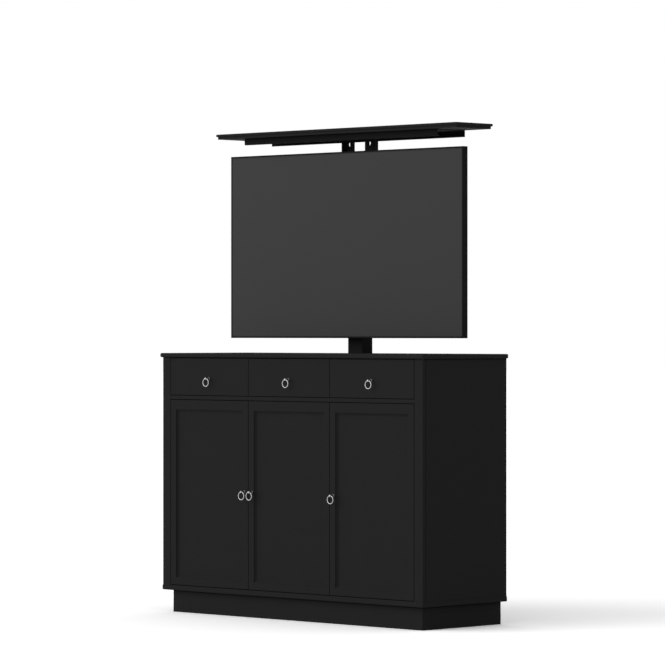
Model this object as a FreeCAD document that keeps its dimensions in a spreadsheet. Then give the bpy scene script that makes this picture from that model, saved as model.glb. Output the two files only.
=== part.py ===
import FreeCAD, Part
import os
import re

import Sketcher

# A free-standing media cabinet with a motorised television lift.  The frame is +Z up, X along
# the front from left to right and Y from the front to the back.  The origin is on the floor,
# under the middle of the whole object.  All sizes are millimetres.

# ---------------------------------------------------------------------------------------------
# Driving dimensions
# ---------------------------------------------------------------------------------------------
DIMENSIONS = {
    # carcass
    "carcass_width": 1264.0,
    "carcass_depth": 411.0,
    "carcass_height": 914.0,
    "panel_thickness": 18.0,
    "back_thickness": 6.0,
    "partition_thickness": 12.0,
    "partition_setback": 200.0,
    # top and bottom boards
    "top_thickness": 15.0,
    "top_overhang": 8.0,
    "top_round": 5.0,
    "bottom_thickness": 18.0,
    "bottom_overhang": 2.0,
    "bottom_round": 3.0,
    # plinth
    "plinth_height": 78.5,
    "plinth_setback": 26.0,
    "plinth_thickness": 18.0,
    # face frame
    "frame_thickness": 13.0,
    "stile_width": 39.0,
    "rail_height": 13.5,
    "drawer_opening": 134.0,
    "front_gap": 2.0,
    "arris": 1.0,
    # doors
    "door_thickness": 20.0,
    "door_stile": 27.0,
    "door_top_rail": 34.0,
    "door_bottom_rail": 26.0,
    "door_bevel": 8.0,
    "door_clearance": 2.0,
    # concealed hinges
    "cup_radius": 13.0,
    "cup_depth": 9.0,
    "cup_inset": 18.0,
    "cup_flange": 1.2,
    "cup_fit": 0.1,
    "hinge_end_distance": 90.0,
    "hinge_arm_width": 14.0,
    "hinge_arm_thickness": 8.0,
    "hinge_plate_length": 50.0,
    "hinge_plate_width": 38.0,
    "hinge_plate_thickness": 4.0,
    "hinge_clearance": 2.0,
    # drawers
    "drawer_front_thickness": 18.0,
    "drawer_box_depth": 172.0,
    "drawer_box_height": 90.0,
    "drawer_box_lift": 4.0,
    "drawer_side_clearance": 3.0,
    "drawer_wall": 12.0,
    "drawer_bottom": 6.0,
    "runner_height": 10.0,
    "runner_engagement": 5.0,
    "runner_clearance": 0.6,
    "runner_level": 38.0,
    "runner_length": 168.0,
    # ring pulls
    "pull_rosette_radius": 6.5,
    "pull_rosette_thickness": 2.0,
    "pull_stem_radius": 3.0,
    "pull_reach": 15.5,
    "pull_ball_radius": 4.75,
    "pull_eye_clearance": 1.0,
    "ring_radius": 13.5,
    "ring_wire_radius": 2.0,
    "drawer_pull_level": 60.5,
    "door_pull_inset": 19.0,
    "door_pull_rise": 11.5,
    # shelves
    "shelf_thickness": 16.0,
    "shelf_level": 330.0,
    "shelf_end_clearance": 1.5,
    "pin_radius": 2.5,
    "pin_length": 16.0,
    "pin_inset": 32.0,
    "pin_fit": 0.05,
    # cable outlet in the back
    "outlet_width": 120.0,
    "outlet_height": 60.0,
    "outlet_end_distance": 154.0,
    "outlet_level": 40.0,
    # wall fixing holes in the back
    "fixing_spacing": 900.0,
    "fixing_radius": 3.0,
    "fixing_drop": 60.0,
    # lid
    "raised_height": 1691.6,
    "lid_end_margin": 47.3,
    "lid_depth": 180.4,
    "lid_thickness": 17.7,
    "lid_lip": 8.3,
    "lid_step": 4.4,
    "lid_setback": 213.9,
    "lid_slot_clearance": 1.5,
    # folded tray under the lid
    "tray_length": 938.6,
    "tray_depth": 137.3,
    "tray_height": 23.0,
    "tray_setback": 243.4,
    "tray_sheet": 2.0,
    "tray_lip": 12.0,
    # posts between the lift head and the tray
    "post_width": 44.0,
    "post_depth": 24.0,
    "post_wall": 2.5,
    "post_spacing": 111.6,
    "post_setback": 337.0,
    "post_hole_radius": 8.0,
    "post_hole_drop": 31.0,
    # telescopic column
    "column_width": 69.0,
    "column_depth": 52.0,
    "column_wall": 2.0,
    "column_gap": 1.5,
    "column_setback": 351.0,
    "outer_column_length": 597.0,
    "middle_column_length": 617.0,
    "inner_column_length": 590.0,
    "stage_clearance": 4.0,
    "flange_width": 240.0,
    "flange_depth": 100.0,
    "flange_thickness": 6.0,
    "spindle_radius": 7.0,
    "spindle_length": 587.0,
    # lift head
    "head_drop": 191.6,
    "head_width": 260.0,
    "head_plate": 6.0,
    "head_front_setback": 312.0,
    "head_front_height": 306.0,
    # motor and control box
    "gearbox_height": 24.0,
    "motor_radius": 21.0,
    "motor_length": 110.0,
    "motor_offset": 76.0,
    "control_width": 160.0,
    "control_depth": 55.0,
    "control_height": 40.0,
    "control_end_distance": 104.0,
    "control_setback": 335.0,
    "socket_width": 28.0,
    "socket_height": 20.0,
    "socket_depth": 14.0,
    # television
    "tv_end_margin": 20.35,
    "tv_height": 646.3,
    "tv_drop": 78.5,
    "tv_setback": 268.0,
    "tv_thickness": 25.0,
    "bezel_width": 5.0,
    "bezel_depth": 12.0,
    "screen_recess": 1.0,
    "screen_thickness": 4.0,
    "cover_wall": 3.0,
    "cover_round": 4.0,
    "bulge_depth": 10.0,
    "bulge_width": 700.0,
    "bulge_height": 420.0,
    "bulge_rise": 60.0,
    # television rails
    "rail_spacing": 200.0,
    "rail_width": 30.0,
    "rail_wall": 2.5,
    "rail_length": 280.0,
    "rail_drop": 20.0,
    # screws
    "screw_radius": 3.0,
    "screw_head_radius": 5.5,
    "screw_head_height": 3.0,
    "screw_grip": 14.0,
    "screw_fit": 0.1,
    "screw_edge_distance": 20.0,
}

# ---------------------------------------------------------------------------------------------
# Places worked out from the driving dimensions
# ---------------------------------------------------------------------------------------------
DERIVED = {
    # depth: the pulls reach in front of the fronts and the back panel ends the object
    "pull_projection": "pull_reach + pull_ball_radius",
    "front": "(pull_projection - carcass_depth) / 2",
    "back": "front + carcass_depth",
    # heights
    "floor_top": "plinth_height + bottom_thickness",
    "top_underside": "carcass_height - top_thickness",
    "side_height": "top_underside - floor_top",
    "drawer_floor": "top_underside - drawer_opening",
    "door_head": "drawer_floor - rail_height",
    # widths
    "half_width": "carcass_width / 2",
    "half_inside": "half_width - panel_thickness",
    "half_opening": "half_width - stile_width",
    "column_pitch": "2 * half_opening / 3",
    "divider_line": "column_pitch / 2",
    # doors
    "door_base": "floor_top + front_gap",
    "door_height": "door_head - front_gap - door_base",
    # the lid and the television keep their distance from the ends of the carcass
    "lid_length": "carcass_width - 2 * lid_end_margin",
    "tv_width": "lid_length - 2 * tv_end_margin",
    # the control box and the cable outlet keep theirs from the right end panel
    "control_position": "half_inside - control_end_distance - control_width",
    "outlet_position": "half_inside - outlet_end_distance - outlet_width / 2",
    # lid and lift
    "lid_base": "raised_height - lid_thickness",
    "lift_travel": "raised_height - carcass_height - lid_lip",
    "lid_front": "front + lid_setback",
    "slot_half_length": "lid_length / 2 - lid_step + lid_slot_clearance",
    "slot_front": "lid_front + lid_step - lid_slot_clearance",
    "slot_depth": "lid_depth - 2 * lid_step + 2 * lid_slot_clearance",
    "column_centre": "front + column_setback",
    "flange_top": "floor_top + flange_thickness",
    "stage_shrink": "2 * (column_wall + column_gap)",
    "middle_base": "flange_top + stage_clearance + lift_travel / 2",
    "head_base": "raised_height - head_drop",
    "head_top": "head_base + head_plate",
    "head_front": "front + head_front_setback",
    # television
    "tv_front": "front + tv_setback",
    "tv_top": "raised_height - tv_drop",
    "tv_base": "tv_top - tv_height",
    "cover_front": "tv_front + bezel_depth",
    "cover_back": "tv_front + tv_thickness",
    "bulge_back": "cover_back + bulge_depth",
    "bulge_base": "tv_base + bulge_rise",
    "rail_base": "head_top - rail_drop - rail_length",
}

COLUMNS = ("left", "middle", "right")

doc = FreeCAD.newDocument("tv_lift_cabinet")
sheet = doc.addObject("Spreadsheet::Sheet", "Sizes")
for row, (alias, size) in enumerate(DIMENSIONS.items(), start=1):
    sheet.set(f"A{row}", alias)
    sheet.set(f"B{row}", str(size))
    sheet.setAlias(f"B{row}", alias)
doc.recompute()

X_AXIS = FreeCAD.Vector(1, 0, 0)
Y_AXIS = FreeCAD.Vector(0, 1, 0)
Z_AXIS = FreeCAD.Vector(0, 0, 1)
TOUCH = 1e-6
WORD = re.compile(r"[a-z][a-z_]*")

sub_parts = []


# ---------------------------------------------------------------------------------------------
# Making pieces
# ---------------------------------------------------------------------------------------------
def formula(text):
    """The text with each named size bound to its cell and each named place spelled out."""

    def resolve(match):
        word = match.group(0)
        if word in DERIVED:
            return "(" + formula(DERIVED[word]) + ")"
        if word in DIMENSIONS:
            return "Sizes." + word
        raise KeyError(word)

    return WORD.sub(resolve, text)


def value(text):
    """The number that an expression on named sizes gives."""
    return float(sheet.evalExpression(formula(text)))


def bind(piece, **expressions):
    """Ties properties of a piece to expressions; x, y and z are its place."""
    for name, text in expressions.items():
        path = f"Placement.Base.{name}" if name in ("x", "y", "z") else name
        piece.setExpression(path, formula(text))
    return piece


def finished(piece, label):
    """Names a sub-part and puts it on the list of parts that are written out."""
    piece.Label = label
    sub_parts.append(piece)
    return piece


def box(name, x, y, z, length, depth, height):
    """A rectangular block from its lowest corner."""
    piece = doc.addObject("Part::Box", name)
    return bind(piece, Length=length, Width=depth, Height=height, x=x, y=y, z=z)


def cylinder(name, axis, x, y, z, radius, height):
    """A round bar that starts at a point and runs along an axis."""
    piece = doc.addObject("Part::Cylinder", name)
    piece.Placement = FreeCAD.Placement(FreeCAD.Vector(), FreeCAD.Rotation(Z_AXIS, axis))
    return bind(piece, Radius=radius, Height=height, x=x, y=y, z=z)


def cut(base, *tools):
    """The base with each tool taken away in turn."""
    result = base
    for tool in tools:
        step = doc.addObject("Part::Cut", base.Name + "_cut")
        step.Base = result
        step.Tool = tool
        result = step
    return result


def fuse(base, *others):
    """One solid from pieces that meet."""
    result = base
    for other in others:
        step = doc.addObject("Part::Fuse", base.Name + "_joined")
        step.Base = result
        step.Tool = other
        result = step
    return result


def group(name, pieces):
    """Separate solids that are kept as one sub-part."""
    piece = doc.addObject("Part::Compound", name)
    piece.Links = pieces
    return piece


def origin_plane(body, role):
    """One of the body's own origin planes."""
    return next(item for item in body.Origin.OriginFeatures if item.Role == role)


def outline(sketch, corners):
    """Draws a closed outline with straight sides, each corner bound to two expressions."""
    first = sketch.GeometryCount
    points = [FreeCAD.Vector(value(across), value(up), 0) for across, up in corners]
    count = len(points)
    for index, point in enumerate(points):
        sketch.addGeometry(Part.LineSegment(point, points[(index + 1) % count]), False)
    for index in range(count):
        following = first + (index + 1) % count
        sketch.addConstraint(Sketcher.Constraint("Coincident", first + index, 2, following, 1))
    for index, (across, up) in enumerate(corners):
        for kind, text in (("DistanceX", across), ("DistanceY", up)):
            size = Sketcher.Constraint(kind, -1, 1, first + index, 1, value(text))
            number = sketch.addConstraint(size)
            sketch.setExpression(f"Constraints[{number}]", formula(text))


def rectangle(left, low, right, high):
    """The four corners of an upright rectangle."""
    return [(left, low), (right, low), (right, high), (left, high)]


def extrusion(name, plane, outlines, length, x, y, z):
    """A body padded from closed outlines; the inner ones are holes.

    XY runs up along +Z and YZ runs along +X.
    """
    body = doc.addObject("PartDesign::Body", name)
    sketch = body.newObject("Sketcher::SketchObject", name + "_profile")
    sketch.AttachmentSupport = [(origin_plane(body, plane + "_Plane"), "")]
    sketch.MapMode = "FlatFace"
    for corners in outlines:
        outline(sketch, corners)
    pad = body.newObject("PartDesign::Pad", name + "_pad")
    pad.Profile = sketch
    bind(pad, Length=length)
    bind(body, x=x, y=y, z=z)
    return body


def round_edges(body, radius, belongs):
    """Rounds the edges of the body's tip whose ends and middle all pass a test."""
    doc.recompute()
    solid = body.Tip
    names = []
    for number, edge in enumerate(solid.Shape.Edges, start=1):
        ends = [vertex.Point for vertex in edge.Vertexes]
        if belongs(ends[0], ends[-1]):
            names.append(f"Edge{number}")
    fillet = body.newObject("PartDesign::Fillet", body.Name + "_round")
    fillet.Base = (solid, names)
    bind(fillet, Radius=radius)
    body.Tip = fillet
    return body


def both(first, second, test):
    """True where both ends of an edge pass."""
    return test(first) and test(second)


def board(name, x, y, z, length, depth, height, rounded=None, radius="arris"):
    """A board; rounded says which of its edges have their sharp arris taken off.

    "front" rounds the four edges of the front face, "sides" the edges of the front and of both
    ends but none at the back.
    """
    body = extrusion(name, "XY", [rectangle("0", "0", length, depth)], height, x, y, z)
    if rounded == "front":
        round_edges(body, radius, lambda one, two: both(one, two, lambda p: abs(p.y) < TOUCH))
    if rounded == "sides":
        far = value(length)

        def on_rim(point):
            return abs(point.y) < TOUCH or abs(point.x) < TOUCH or abs(point.x - far) < TOUCH

        def on_one_rim(one, two):
            level = abs(one.z - two.z) < TOUCH
            same_end = abs(one.x - two.x) < TOUCH
            along_front = abs(one.y) < TOUCH and abs(two.y) < TOUCH
            upright_front = not level and along_front
            return both(one, two, on_rim) and (upright_front or (level and (same_end or along_front)))

        round_edges(body, radius, on_one_rim)
    return body


# ---------------------------------------------------------------------------------------------
# Carcass
# ---------------------------------------------------------------------------------------------
def make_plinth():
    """Four boards set back under the bottom board."""
    length = "carcass_width - 2 * plinth_setback"
    left = "plinth_setback - half_width"
    finished(
        board("plinth_front", left, "front + plinth_setback", "0", length,
              "plinth_thickness", "plinth_height", "front"),
        "plinth_front",
    )
    finished(
        box("plinth_back", left, "back - plinth_thickness", "0", length,
            "plinth_thickness", "plinth_height"),
        "plinth_back",
    )
    side_depth = "carcass_depth - plinth_setback - 2 * plinth_thickness"
    side_front = "front + plinth_setback + plinth_thickness"
    sides = [
        box(f"plinth_side_{side}", place, side_front, "0", "plinth_thickness",
            side_depth, "plinth_height")
        for side, place in (("left", left), ("right", "half_width - plinth_setback - plinth_thickness"))
    ]
    finished(group("plinth_sides", sides), "plinth_sides")


def base_screw_places():
    """The middles of the four screws through the column's base flange."""
    across = "flange_width / 2 - screw_edge_distance"
    along = "flange_depth / 2 - screw_edge_distance"
    return [
        (f"{side} * ({across})", f"column_centre + {end} * ({along})")
        for side in ("-1", "1")
        for end in ("-1", "1")
    ]


def make_bottom_board():
    """The bottom board stands a little proud of the front and the ends."""
    body = board(
        "bottom_blank", "-half_width - bottom_overhang", "front - bottom_overhang",
        "plinth_height", "carcass_width + 2 * bottom_overhang",
        "carcass_depth + bottom_overhang", "bottom_thickness", "sides", "bottom_round",
    )
    depth = "screw_grip - flange_thickness"
    holes = [
        cylinder("base_hole", Z_AXIS, x, y, f"floor_top - ({depth})", "screw_radius + screw_fit",
                 f"{depth} + stage_clearance")
        for x, y in base_screw_places()
    ]
    finished(cut(body, *holes), "bottom_board")


def pin_places():
    """Depth places of the two pins that carry one end of a shelf."""
    return ["front + door_thickness + pin_inset", "front + partition_setback - pin_inset"]


def pin_ends():
    """For each shelf end: the panel's face and the side of it that the panel lies on."""
    return [
        ("left_end", "-half_inside", "behind"),
        ("divider_left", "divider_line - panel_thickness / 2", "ahead"),
        ("divider_right", "divider_line + panel_thickness / 2", "behind"),
        ("right_end", "half_inside", "ahead"),
    ]


def pin_bores(names):
    """Bores for the shelf pins in the panels that are named."""
    bores = []
    for name, face, panel in pin_ends():
        if name not in names:
            continue
        start = f"{face} - pin_fit" if panel == "ahead" else f"{face} - pin_length / 2 - pin_fit"
        for place in pin_places():
            bores.append(
                cylinder("pin_bore", X_AXIS, start, place, "floor_top + shelf_level - pin_radius",
                         "pin_radius + pin_fit", "pin_length / 2 + 2 * pin_fit")
            )
    return bores


def make_sides():
    """The end panels stand behind the face frame."""
    depth = "carcass_depth - frame_thickness"
    for side, place in (("left", "-half_width"), ("right", "half_inside")):
        panel = box(f"{side}_panel_blank", place, "front + frame_thickness", "floor_top",
                    "panel_thickness", depth, "side_height")
        finished(cut(panel, *pin_bores([f"{side}_end"])), f"{side}_side_panel")


def make_face_frame():
    """Two stiles and the rail between the drawers and the doors, flush with the fronts."""
    for side, place in (("left", "-half_width"), ("right", "half_opening")):
        finished(
            board(f"{side}_stile", place, "front", "floor_top", "stile_width",
                  "frame_thickness", "side_height", "front"),
            f"{side}_stile",
        )
    finished(
        board("mid_rail", "-half_opening", "front", "door_head", "2 * half_opening",
              "frame_thickness", "rail_height", "front"),
        "mid_rail",
    )


def make_inner_boards():
    """The boards that part the drawers, the door compartments and the lift bay."""
    finished(
        box("dust_board", "-half_inside", "front + frame_thickness", "door_head",
            "2 * half_inside", "partition_setback - frame_thickness", "rail_height"),
        "dust_board",
    )
    behind_drawer = "front + drawer_front_thickness + door_clearance"
    dividers = [
        box(f"drawer_divider_{side}", f"{way} * divider_line - panel_thickness / 2", behind_drawer,
            "drawer_floor", "panel_thickness",
            "partition_setback - drawer_front_thickness - door_clearance", "drawer_opening")
        for side, way in (("left", "-1"), ("right", "1"))
    ]
    finished(group("drawer_dividers", dividers), "drawer_dividers")
    divider = box(
        "door_divider_blank", "divider_line - panel_thickness / 2",
        "front + door_thickness + door_clearance", "floor_top", "panel_thickness",
        "partition_setback - door_thickness - door_clearance", "door_head - floor_top",
    )
    bores = pin_bores(["divider_left", "divider_right"])
    finished(cut(divider, *bores), "door_divider")
    finished(
        box("bay_partition", "-half_inside", "front + partition_setback", "floor_top",
            "2 * half_inside", "partition_thickness", "side_height"),
        "bay_partition",
    )


def make_shelves():
    """One shelf behind the left pair of doors and one behind the right door, on steel pins."""
    front_edge = "front + door_thickness + door_clearance + hinge_clearance"
    depth = "partition_setback - door_thickness - 2 * door_clearance - hinge_clearance"
    wide = "half_inside + divider_line - panel_thickness / 2 - 2 * shelf_end_clearance"
    narrow = "half_inside - divider_line - panel_thickness / 2 - 2 * shelf_end_clearance"
    shelves = [
        box("wide_shelf", "shelf_end_clearance - half_inside", front_edge,
            "floor_top + shelf_level", wide, depth, "shelf_thickness"),
        box("narrow_shelf", "divider_line + panel_thickness / 2 + shelf_end_clearance", front_edge,
            "floor_top + shelf_level", narrow, depth, "shelf_thickness"),
    ]
    finished(group("shelves", shelves), "shelves")
    pins = [
        cylinder("shelf_pin", X_AXIS, f"{face} - pin_length / 2", place,
                 "floor_top + shelf_level - pin_radius", "pin_radius", "pin_length")
        for _, face, _ in pin_ends()
        for place in pin_places()
    ]
    finished(group("shelf_pins", pins), "shelf_pins")


def make_back():
    """The back panel has a cable outlet low down and two wall fixing holes near the top."""
    panel = box("back_blank", "-half_inside", "back - back_thickness", "floor_top",
                "2 * half_inside", "back_thickness", "side_height")
    outlet = box("cable_outlet", "outlet_position - outlet_width / 2",
                 "back - 2 * back_thickness", "floor_top + outlet_level",
                 "outlet_width", "3 * back_thickness", "outlet_height")
    holes = [
        cylinder("fixing_hole", Y_AXIS, f"{way} * fixing_spacing / 2", "back - 2 * back_thickness",
                 "top_underside - fixing_drop", "fixing_radius", "3 * back_thickness")
        for way in ("-1", "1")
    ]
    finished(cut(panel, outlet, *holes), "back_panel")


def make_top_board():
    """The top has rounded front and end edges and the slot that the lift rises through."""
    body = board(
        "top_blank", "-half_width - top_overhang", "front - top_overhang", "top_underside",
        "carcass_width + 2 * top_overhang", "carcass_depth + top_overhang", "top_thickness",
        "sides", "top_round",
    )
    slot = box("lift_slot", "-slot_half_length", "slot_front", "top_underside - top_thickness",
               "2 * slot_half_length", "slot_depth", "3 * top_thickness")
    finished(cut(body, slot), "top_board")


# ---------------------------------------------------------------------------------------------
# Pulls, drawers and doors
# ---------------------------------------------------------------------------------------------
def make_pull(name, x, z):
    """A rosette, a stem and a ball with an eye, and the ring that swings in the eye.

    x and z are the middle of the eye.
    """
    rosette = cylinder(f"{name}_rosette", Y_AXIS, x, "front - pull_rosette_thickness", z,
                       "pull_rosette_radius", "pull_rosette_thickness")
    stem = cylinder(f"{name}_stem", Y_AXIS, x, "front - pull_reach", z,
                    "pull_stem_radius", "pull_reach")
    ball = bind(doc.addObject("Part::Sphere", f"{name}_ball"), Radius="pull_ball_radius",
                x=x, y="front - pull_reach", z=z)
    eye = cylinder(f"{name}_eye", X_AXIS, f"{x} - pull_rosette_radius", "front - pull_reach", z,
                   "ring_wire_radius + pull_eye_clearance", "2 * pull_rosette_radius")
    finished(cut(fuse(rosette, stem, ball), eye), f"{name}_pull")
    ring = doc.addObject("Part::Torus", f"{name}_ring")
    ring.Placement = FreeCAD.Placement(FreeCAD.Vector(), FreeCAD.Rotation(Z_AXIS, Y_AXIS))
    bind(ring, Radius1="ring_radius", Radius2="ring_wire_radius",
         x=x, y="front - pull_reach", z=f"{z} - ring_radius")
    finished(ring, f"{name}_ring")


def column_sides(index):
    """The left and right edges of a front in one of the three equal columns."""
    left = f"{index} * column_pitch - half_opening"
    left += " + front_gap" if index == 0 else " + front_gap / 2"
    right = f"{index + 1} * column_pitch - half_opening"
    right += " - front_gap" if index == len(COLUMNS) - 1 else " - front_gap / 2"
    return left, right


def drawer_walls(index):
    """The outer faces of a drawer box and the faces that its runners are fixed to."""
    divider = "panel_thickness / 2"
    left_face = "-half_inside" if index == 0 else f"({index} * column_pitch - half_opening) + {divider}"
    right_face = "half_inside" if index == 2 else f"({index + 1} * column_pitch - half_opening) - {divider}"
    left = "-half_opening" if index == 0 else left_face
    right = "half_opening" if index == 2 else right_face
    return left_face, f"{left} + drawer_side_clearance", f"{right} - drawer_side_clearance", right_face


def make_drawer(index, runners):
    """A flat front on a dovetailed box that hangs on two runners in grooves."""
    name = f"{COLUMNS[index]}_drawer"
    left, right = column_sides(index)
    finished(
        board(f"{name}_front", left, "front", "drawer_floor + front_gap", f"{right} - ({left})",
              "drawer_front_thickness", "drawer_opening - 2 * front_gap", "front"),
        f"{name}_front",
    )
    left_face, box_left, box_right, right_face = drawer_walls(index)
    base = "drawer_floor + drawer_box_lift"
    box_front = "front + drawer_front_thickness"
    shell = box(f"{name}_shell", box_left, box_front, base, f"{box_right} - ({box_left})",
                "drawer_box_depth", "drawer_box_height")
    inside = box(f"{name}_inside", f"{box_left} + drawer_wall", f"{box_front} + drawer_wall",
                 f"{base} + drawer_bottom", f"{box_right} - ({box_left}) - 2 * drawer_wall",
                 "drawer_box_depth - 2 * drawer_wall", "drawer_box_height")
    groove_base = f"{base} + runner_level - runner_clearance"
    groove_height = "runner_height + 2 * runner_clearance"
    groove_depth = "runner_engagement + runner_clearance"
    grooves = [
        box(f"{name}_groove", place, box_front, groove_base, f"2 * ({groove_depth})",
            "drawer_box_depth + drawer_wall", groove_height)
        for place in (f"{box_left} - ({groove_depth})", f"{box_right} - ({groove_depth})")
    ]
    finished(cut(shell, inside, *grooves), f"{name}_box")
    runner_front = "front + partition_setback - runner_length"
    runner_base = f"{base} + runner_level"
    for start, end in ((left_face, f"{box_left} + runner_engagement"),
                       (f"{box_right} - runner_engagement", right_face)):
        runners.append(
            box(f"{name}_runner", start, runner_front, runner_base, f"{end} - ({start})",
                "runner_length", "runner_height")
        )
    make_pull(name, f"{index} * column_pitch - column_pitch",
              "drawer_floor + drawer_pull_level")


def hinge_levels():
    """Heights of the two hinges of a door."""
    return ["door_base + hinge_end_distance", "door_base + door_height - hinge_end_distance"]


def make_door(index, hinge_side, arms):
    """An inset door: one slab with a bevelled sunk panel, two cup hinges and a ring pull."""
    name = f"{COLUMNS[index]}_door"
    left, right = column_sides(index)
    width = f"{right} - ({left})"
    slab = board(f"{name}_slab", left, "front", "door_base", width, "door_thickness",
                 "door_height", "front")
    sunk = doc.addObject("Part::Wedge", f"{name}_sunk_panel")
    bind(sunk, x=left, y="front", z="door_base",
         Xmin="door_stile", Xmax=f"{width} - door_stile",
         Ymin="0", Ymax="door_bevel",
         Zmin="door_bottom_rail", Zmax="door_height - door_top_rail",
         X2min="door_stile + door_bevel", X2max=f"{width} - door_stile - door_bevel",
         Z2min="door_bottom_rail + door_bevel",
         Z2max="door_height - door_top_rail - door_bevel")
    hinge_edge, way = (left, "1") if hinge_side == "left" else (right, "-1")
    cup_x = f"{hinge_edge} + {way} * cup_inset"
    bores = [
        cylinder(f"{name}_cup_bore", Y_AXIS, cup_x, "front + door_thickness - cup_depth", z,
                 "cup_radius", "2 * cup_depth")
        for z in hinge_levels()
    ]
    finished(cut(slab, sunk, *bores), f"{name}_leaf")
    cups = []
    for z in hinge_levels():
        cup = cylinder(f"{name}_cup", Y_AXIS, cup_x, "front + door_thickness - cup_depth", z,
                       "cup_radius - cup_fit", "cup_depth")
        flange = cylinder(f"{name}_cup_flange", Y_AXIS, cup_x, "front + door_thickness", z,
                          "cup_radius + 2 * cup_flange", "cup_flange")
        cups.append(fuse(cup, flange))
    finished(group(f"{name}_hinge_cups", cups), f"{name}_hinge_cups")
    if index == 0:
        face = "-half_inside"
    elif index == 1:
        face = "divider_line - panel_thickness / 2"
    else:
        face = "half_inside"
    arm_front = "front + door_thickness + hinge_clearance"
    for z in hinge_levels():
        reach = f"{way} * ({cup_x} - ({face}))"
        arm_x = face if hinge_side == "left" else cup_x
        plate_x = face if hinge_side == "left" else f"{face} - hinge_plate_thickness"
        arm = box(f"{name}_arm", arm_x, arm_front, f"{z} - hinge_arm_width / 2", reach,
                  "hinge_arm_thickness", "hinge_arm_width")
        plate = box(f"{name}_hinge_plate", plate_x, arm_front, f"{z} - hinge_plate_width / 2",
                    "hinge_plate_thickness", "hinge_plate_length", "hinge_plate_width")
        arms.append(fuse(arm, plate))
    free_way = "-1" if hinge_side == "left" else "1"
    line = f"{index + 1 if hinge_side == 'left' else index} * column_pitch - half_opening"
    make_pull(name, f"{line} + {free_way} * door_pull_inset",
              "door_base + door_height / 2 + door_pull_rise")


def make_fronts():
    """Three drawers over three doors; the left pair of doors meets in the middle."""
    runners = []
    for index in range(len(COLUMNS)):
        make_drawer(index, runners)
    finished(group("drawer_runners", runners), "drawer_runners")
    arms = []
    for index, hinge_side in enumerate(("left", "right", "right")):
        make_door(index, hinge_side, arms)
    finished(group("hinge_arms", arms), "hinge_arms")


# ---------------------------------------------------------------------------------------------
# Lift
# ---------------------------------------------------------------------------------------------
def tube(name, width, depth, length, z):
    """A rectangular tube around the lift's axis."""
    outer = rectangle(f"-({width}) / 2", f"-({depth}) / 2", f"({width}) / 2", f"({depth}) / 2")
    inner = rectangle(f"column_wall - ({width}) / 2", f"column_wall - ({depth}) / 2",
                      f"({width}) / 2 - column_wall", f"({depth}) / 2 - column_wall")
    return extrusion(name, "XY", [outer, inner], length, "0", "column_centre", z)


def screw(name, axis, head, x, y, z, grip):
    """A cap screw that starts at the seat of its head and points along the axis."""
    shank = cylinder(f"{name}_shank", axis, x, y, z, "screw_radius", grip)
    top = cylinder(f"{name}_head", -1 * axis, x, y, z, "screw_head_radius", head)
    return fuse(shank, top)


def make_lift_base():
    """The fixed part of the lift: flange, outer column, spindle, motor and control box."""
    flange = box("base_flange", "-flange_width / 2", "column_centre - flange_depth / 2",
                 "floor_top", "flange_width", "flange_depth", "flange_thickness")
    holes = [
        cylinder("flange_hole", Z_AXIS, x, y, "floor_top - flange_thickness",
                 "screw_radius + screw_fit", "3 * flange_thickness")
        for x, y in base_screw_places()
    ]
    outer = tube("outer_tube", "column_width + stage_shrink", "column_depth + stage_shrink",
                 "outer_column_length", "flange_top")
    finished(fuse(cut(flange, *holes), outer), "lift_outer_column")
    screws = [
        screw("base_screw", -1 * Z_AXIS, "screw_head_height", x, y, "flange_top", "screw_grip")
        for x, y in base_screw_places()
    ]
    finished(group("lift_base_screws", screws), "lift_base_screws")
    finished(
        cylinder("lift_spindle", Z_AXIS, "0", "column_centre", "flange_top", "spindle_radius",
                 "spindle_length"),
        "lift_spindle",
    )
    outer_face = "(column_width + stage_shrink) / 2"
    gearbox = box("gearbox", outer_face, "column_centre - column_depth / 2 + motor_radius / 4",
                  "flange_top", f"motor_offset + motor_radius / 2 - {outer_face}",
                  "column_depth - motor_radius / 2", "gearbox_height")
    motor = cylinder("motor_can", Z_AXIS, "motor_offset", "column_centre",
                     "flange_top + gearbox_height / 2", "motor_radius", "motor_length")
    finished(fuse(gearbox, motor), "lift_motor")
    case = box("control_case", "control_position", "front + control_setback", "floor_top",
               "control_width", "control_depth", "control_height")
    socket = box("mains_socket", "control_position + control_width - 2 * socket_width",
                 "front + control_setback + control_depth - socket_depth",
                 "floor_top + (control_height - socket_height) / 2",
                 "socket_width", "2 * socket_depth", "socket_height")
    finished(cut(case, socket), "control_box")


def make_stages():
    """The two moving tubes, drawn with the lift fully raised."""
    finished(
        tube("middle_tube", "column_width", "column_depth", "middle_column_length", "middle_base"),
        "lift_middle_column",
    )
    finished(
        tube("inner_tube", "column_width - stage_shrink", "column_depth - stage_shrink",
             "inner_column_length", "head_base - inner_column_length"),
        "lift_inner_column",
    )


def rail_screw_places():
    """Across and up places of the four screws between the head and the television rails."""
    return [
        (f"{way} * rail_spacing / 2", level)
        for way in ("-1", "1")
        for level in ("rail_base + screw_edge_distance",
                      "rail_base + rail_length - screw_edge_distance")
    ]


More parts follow.
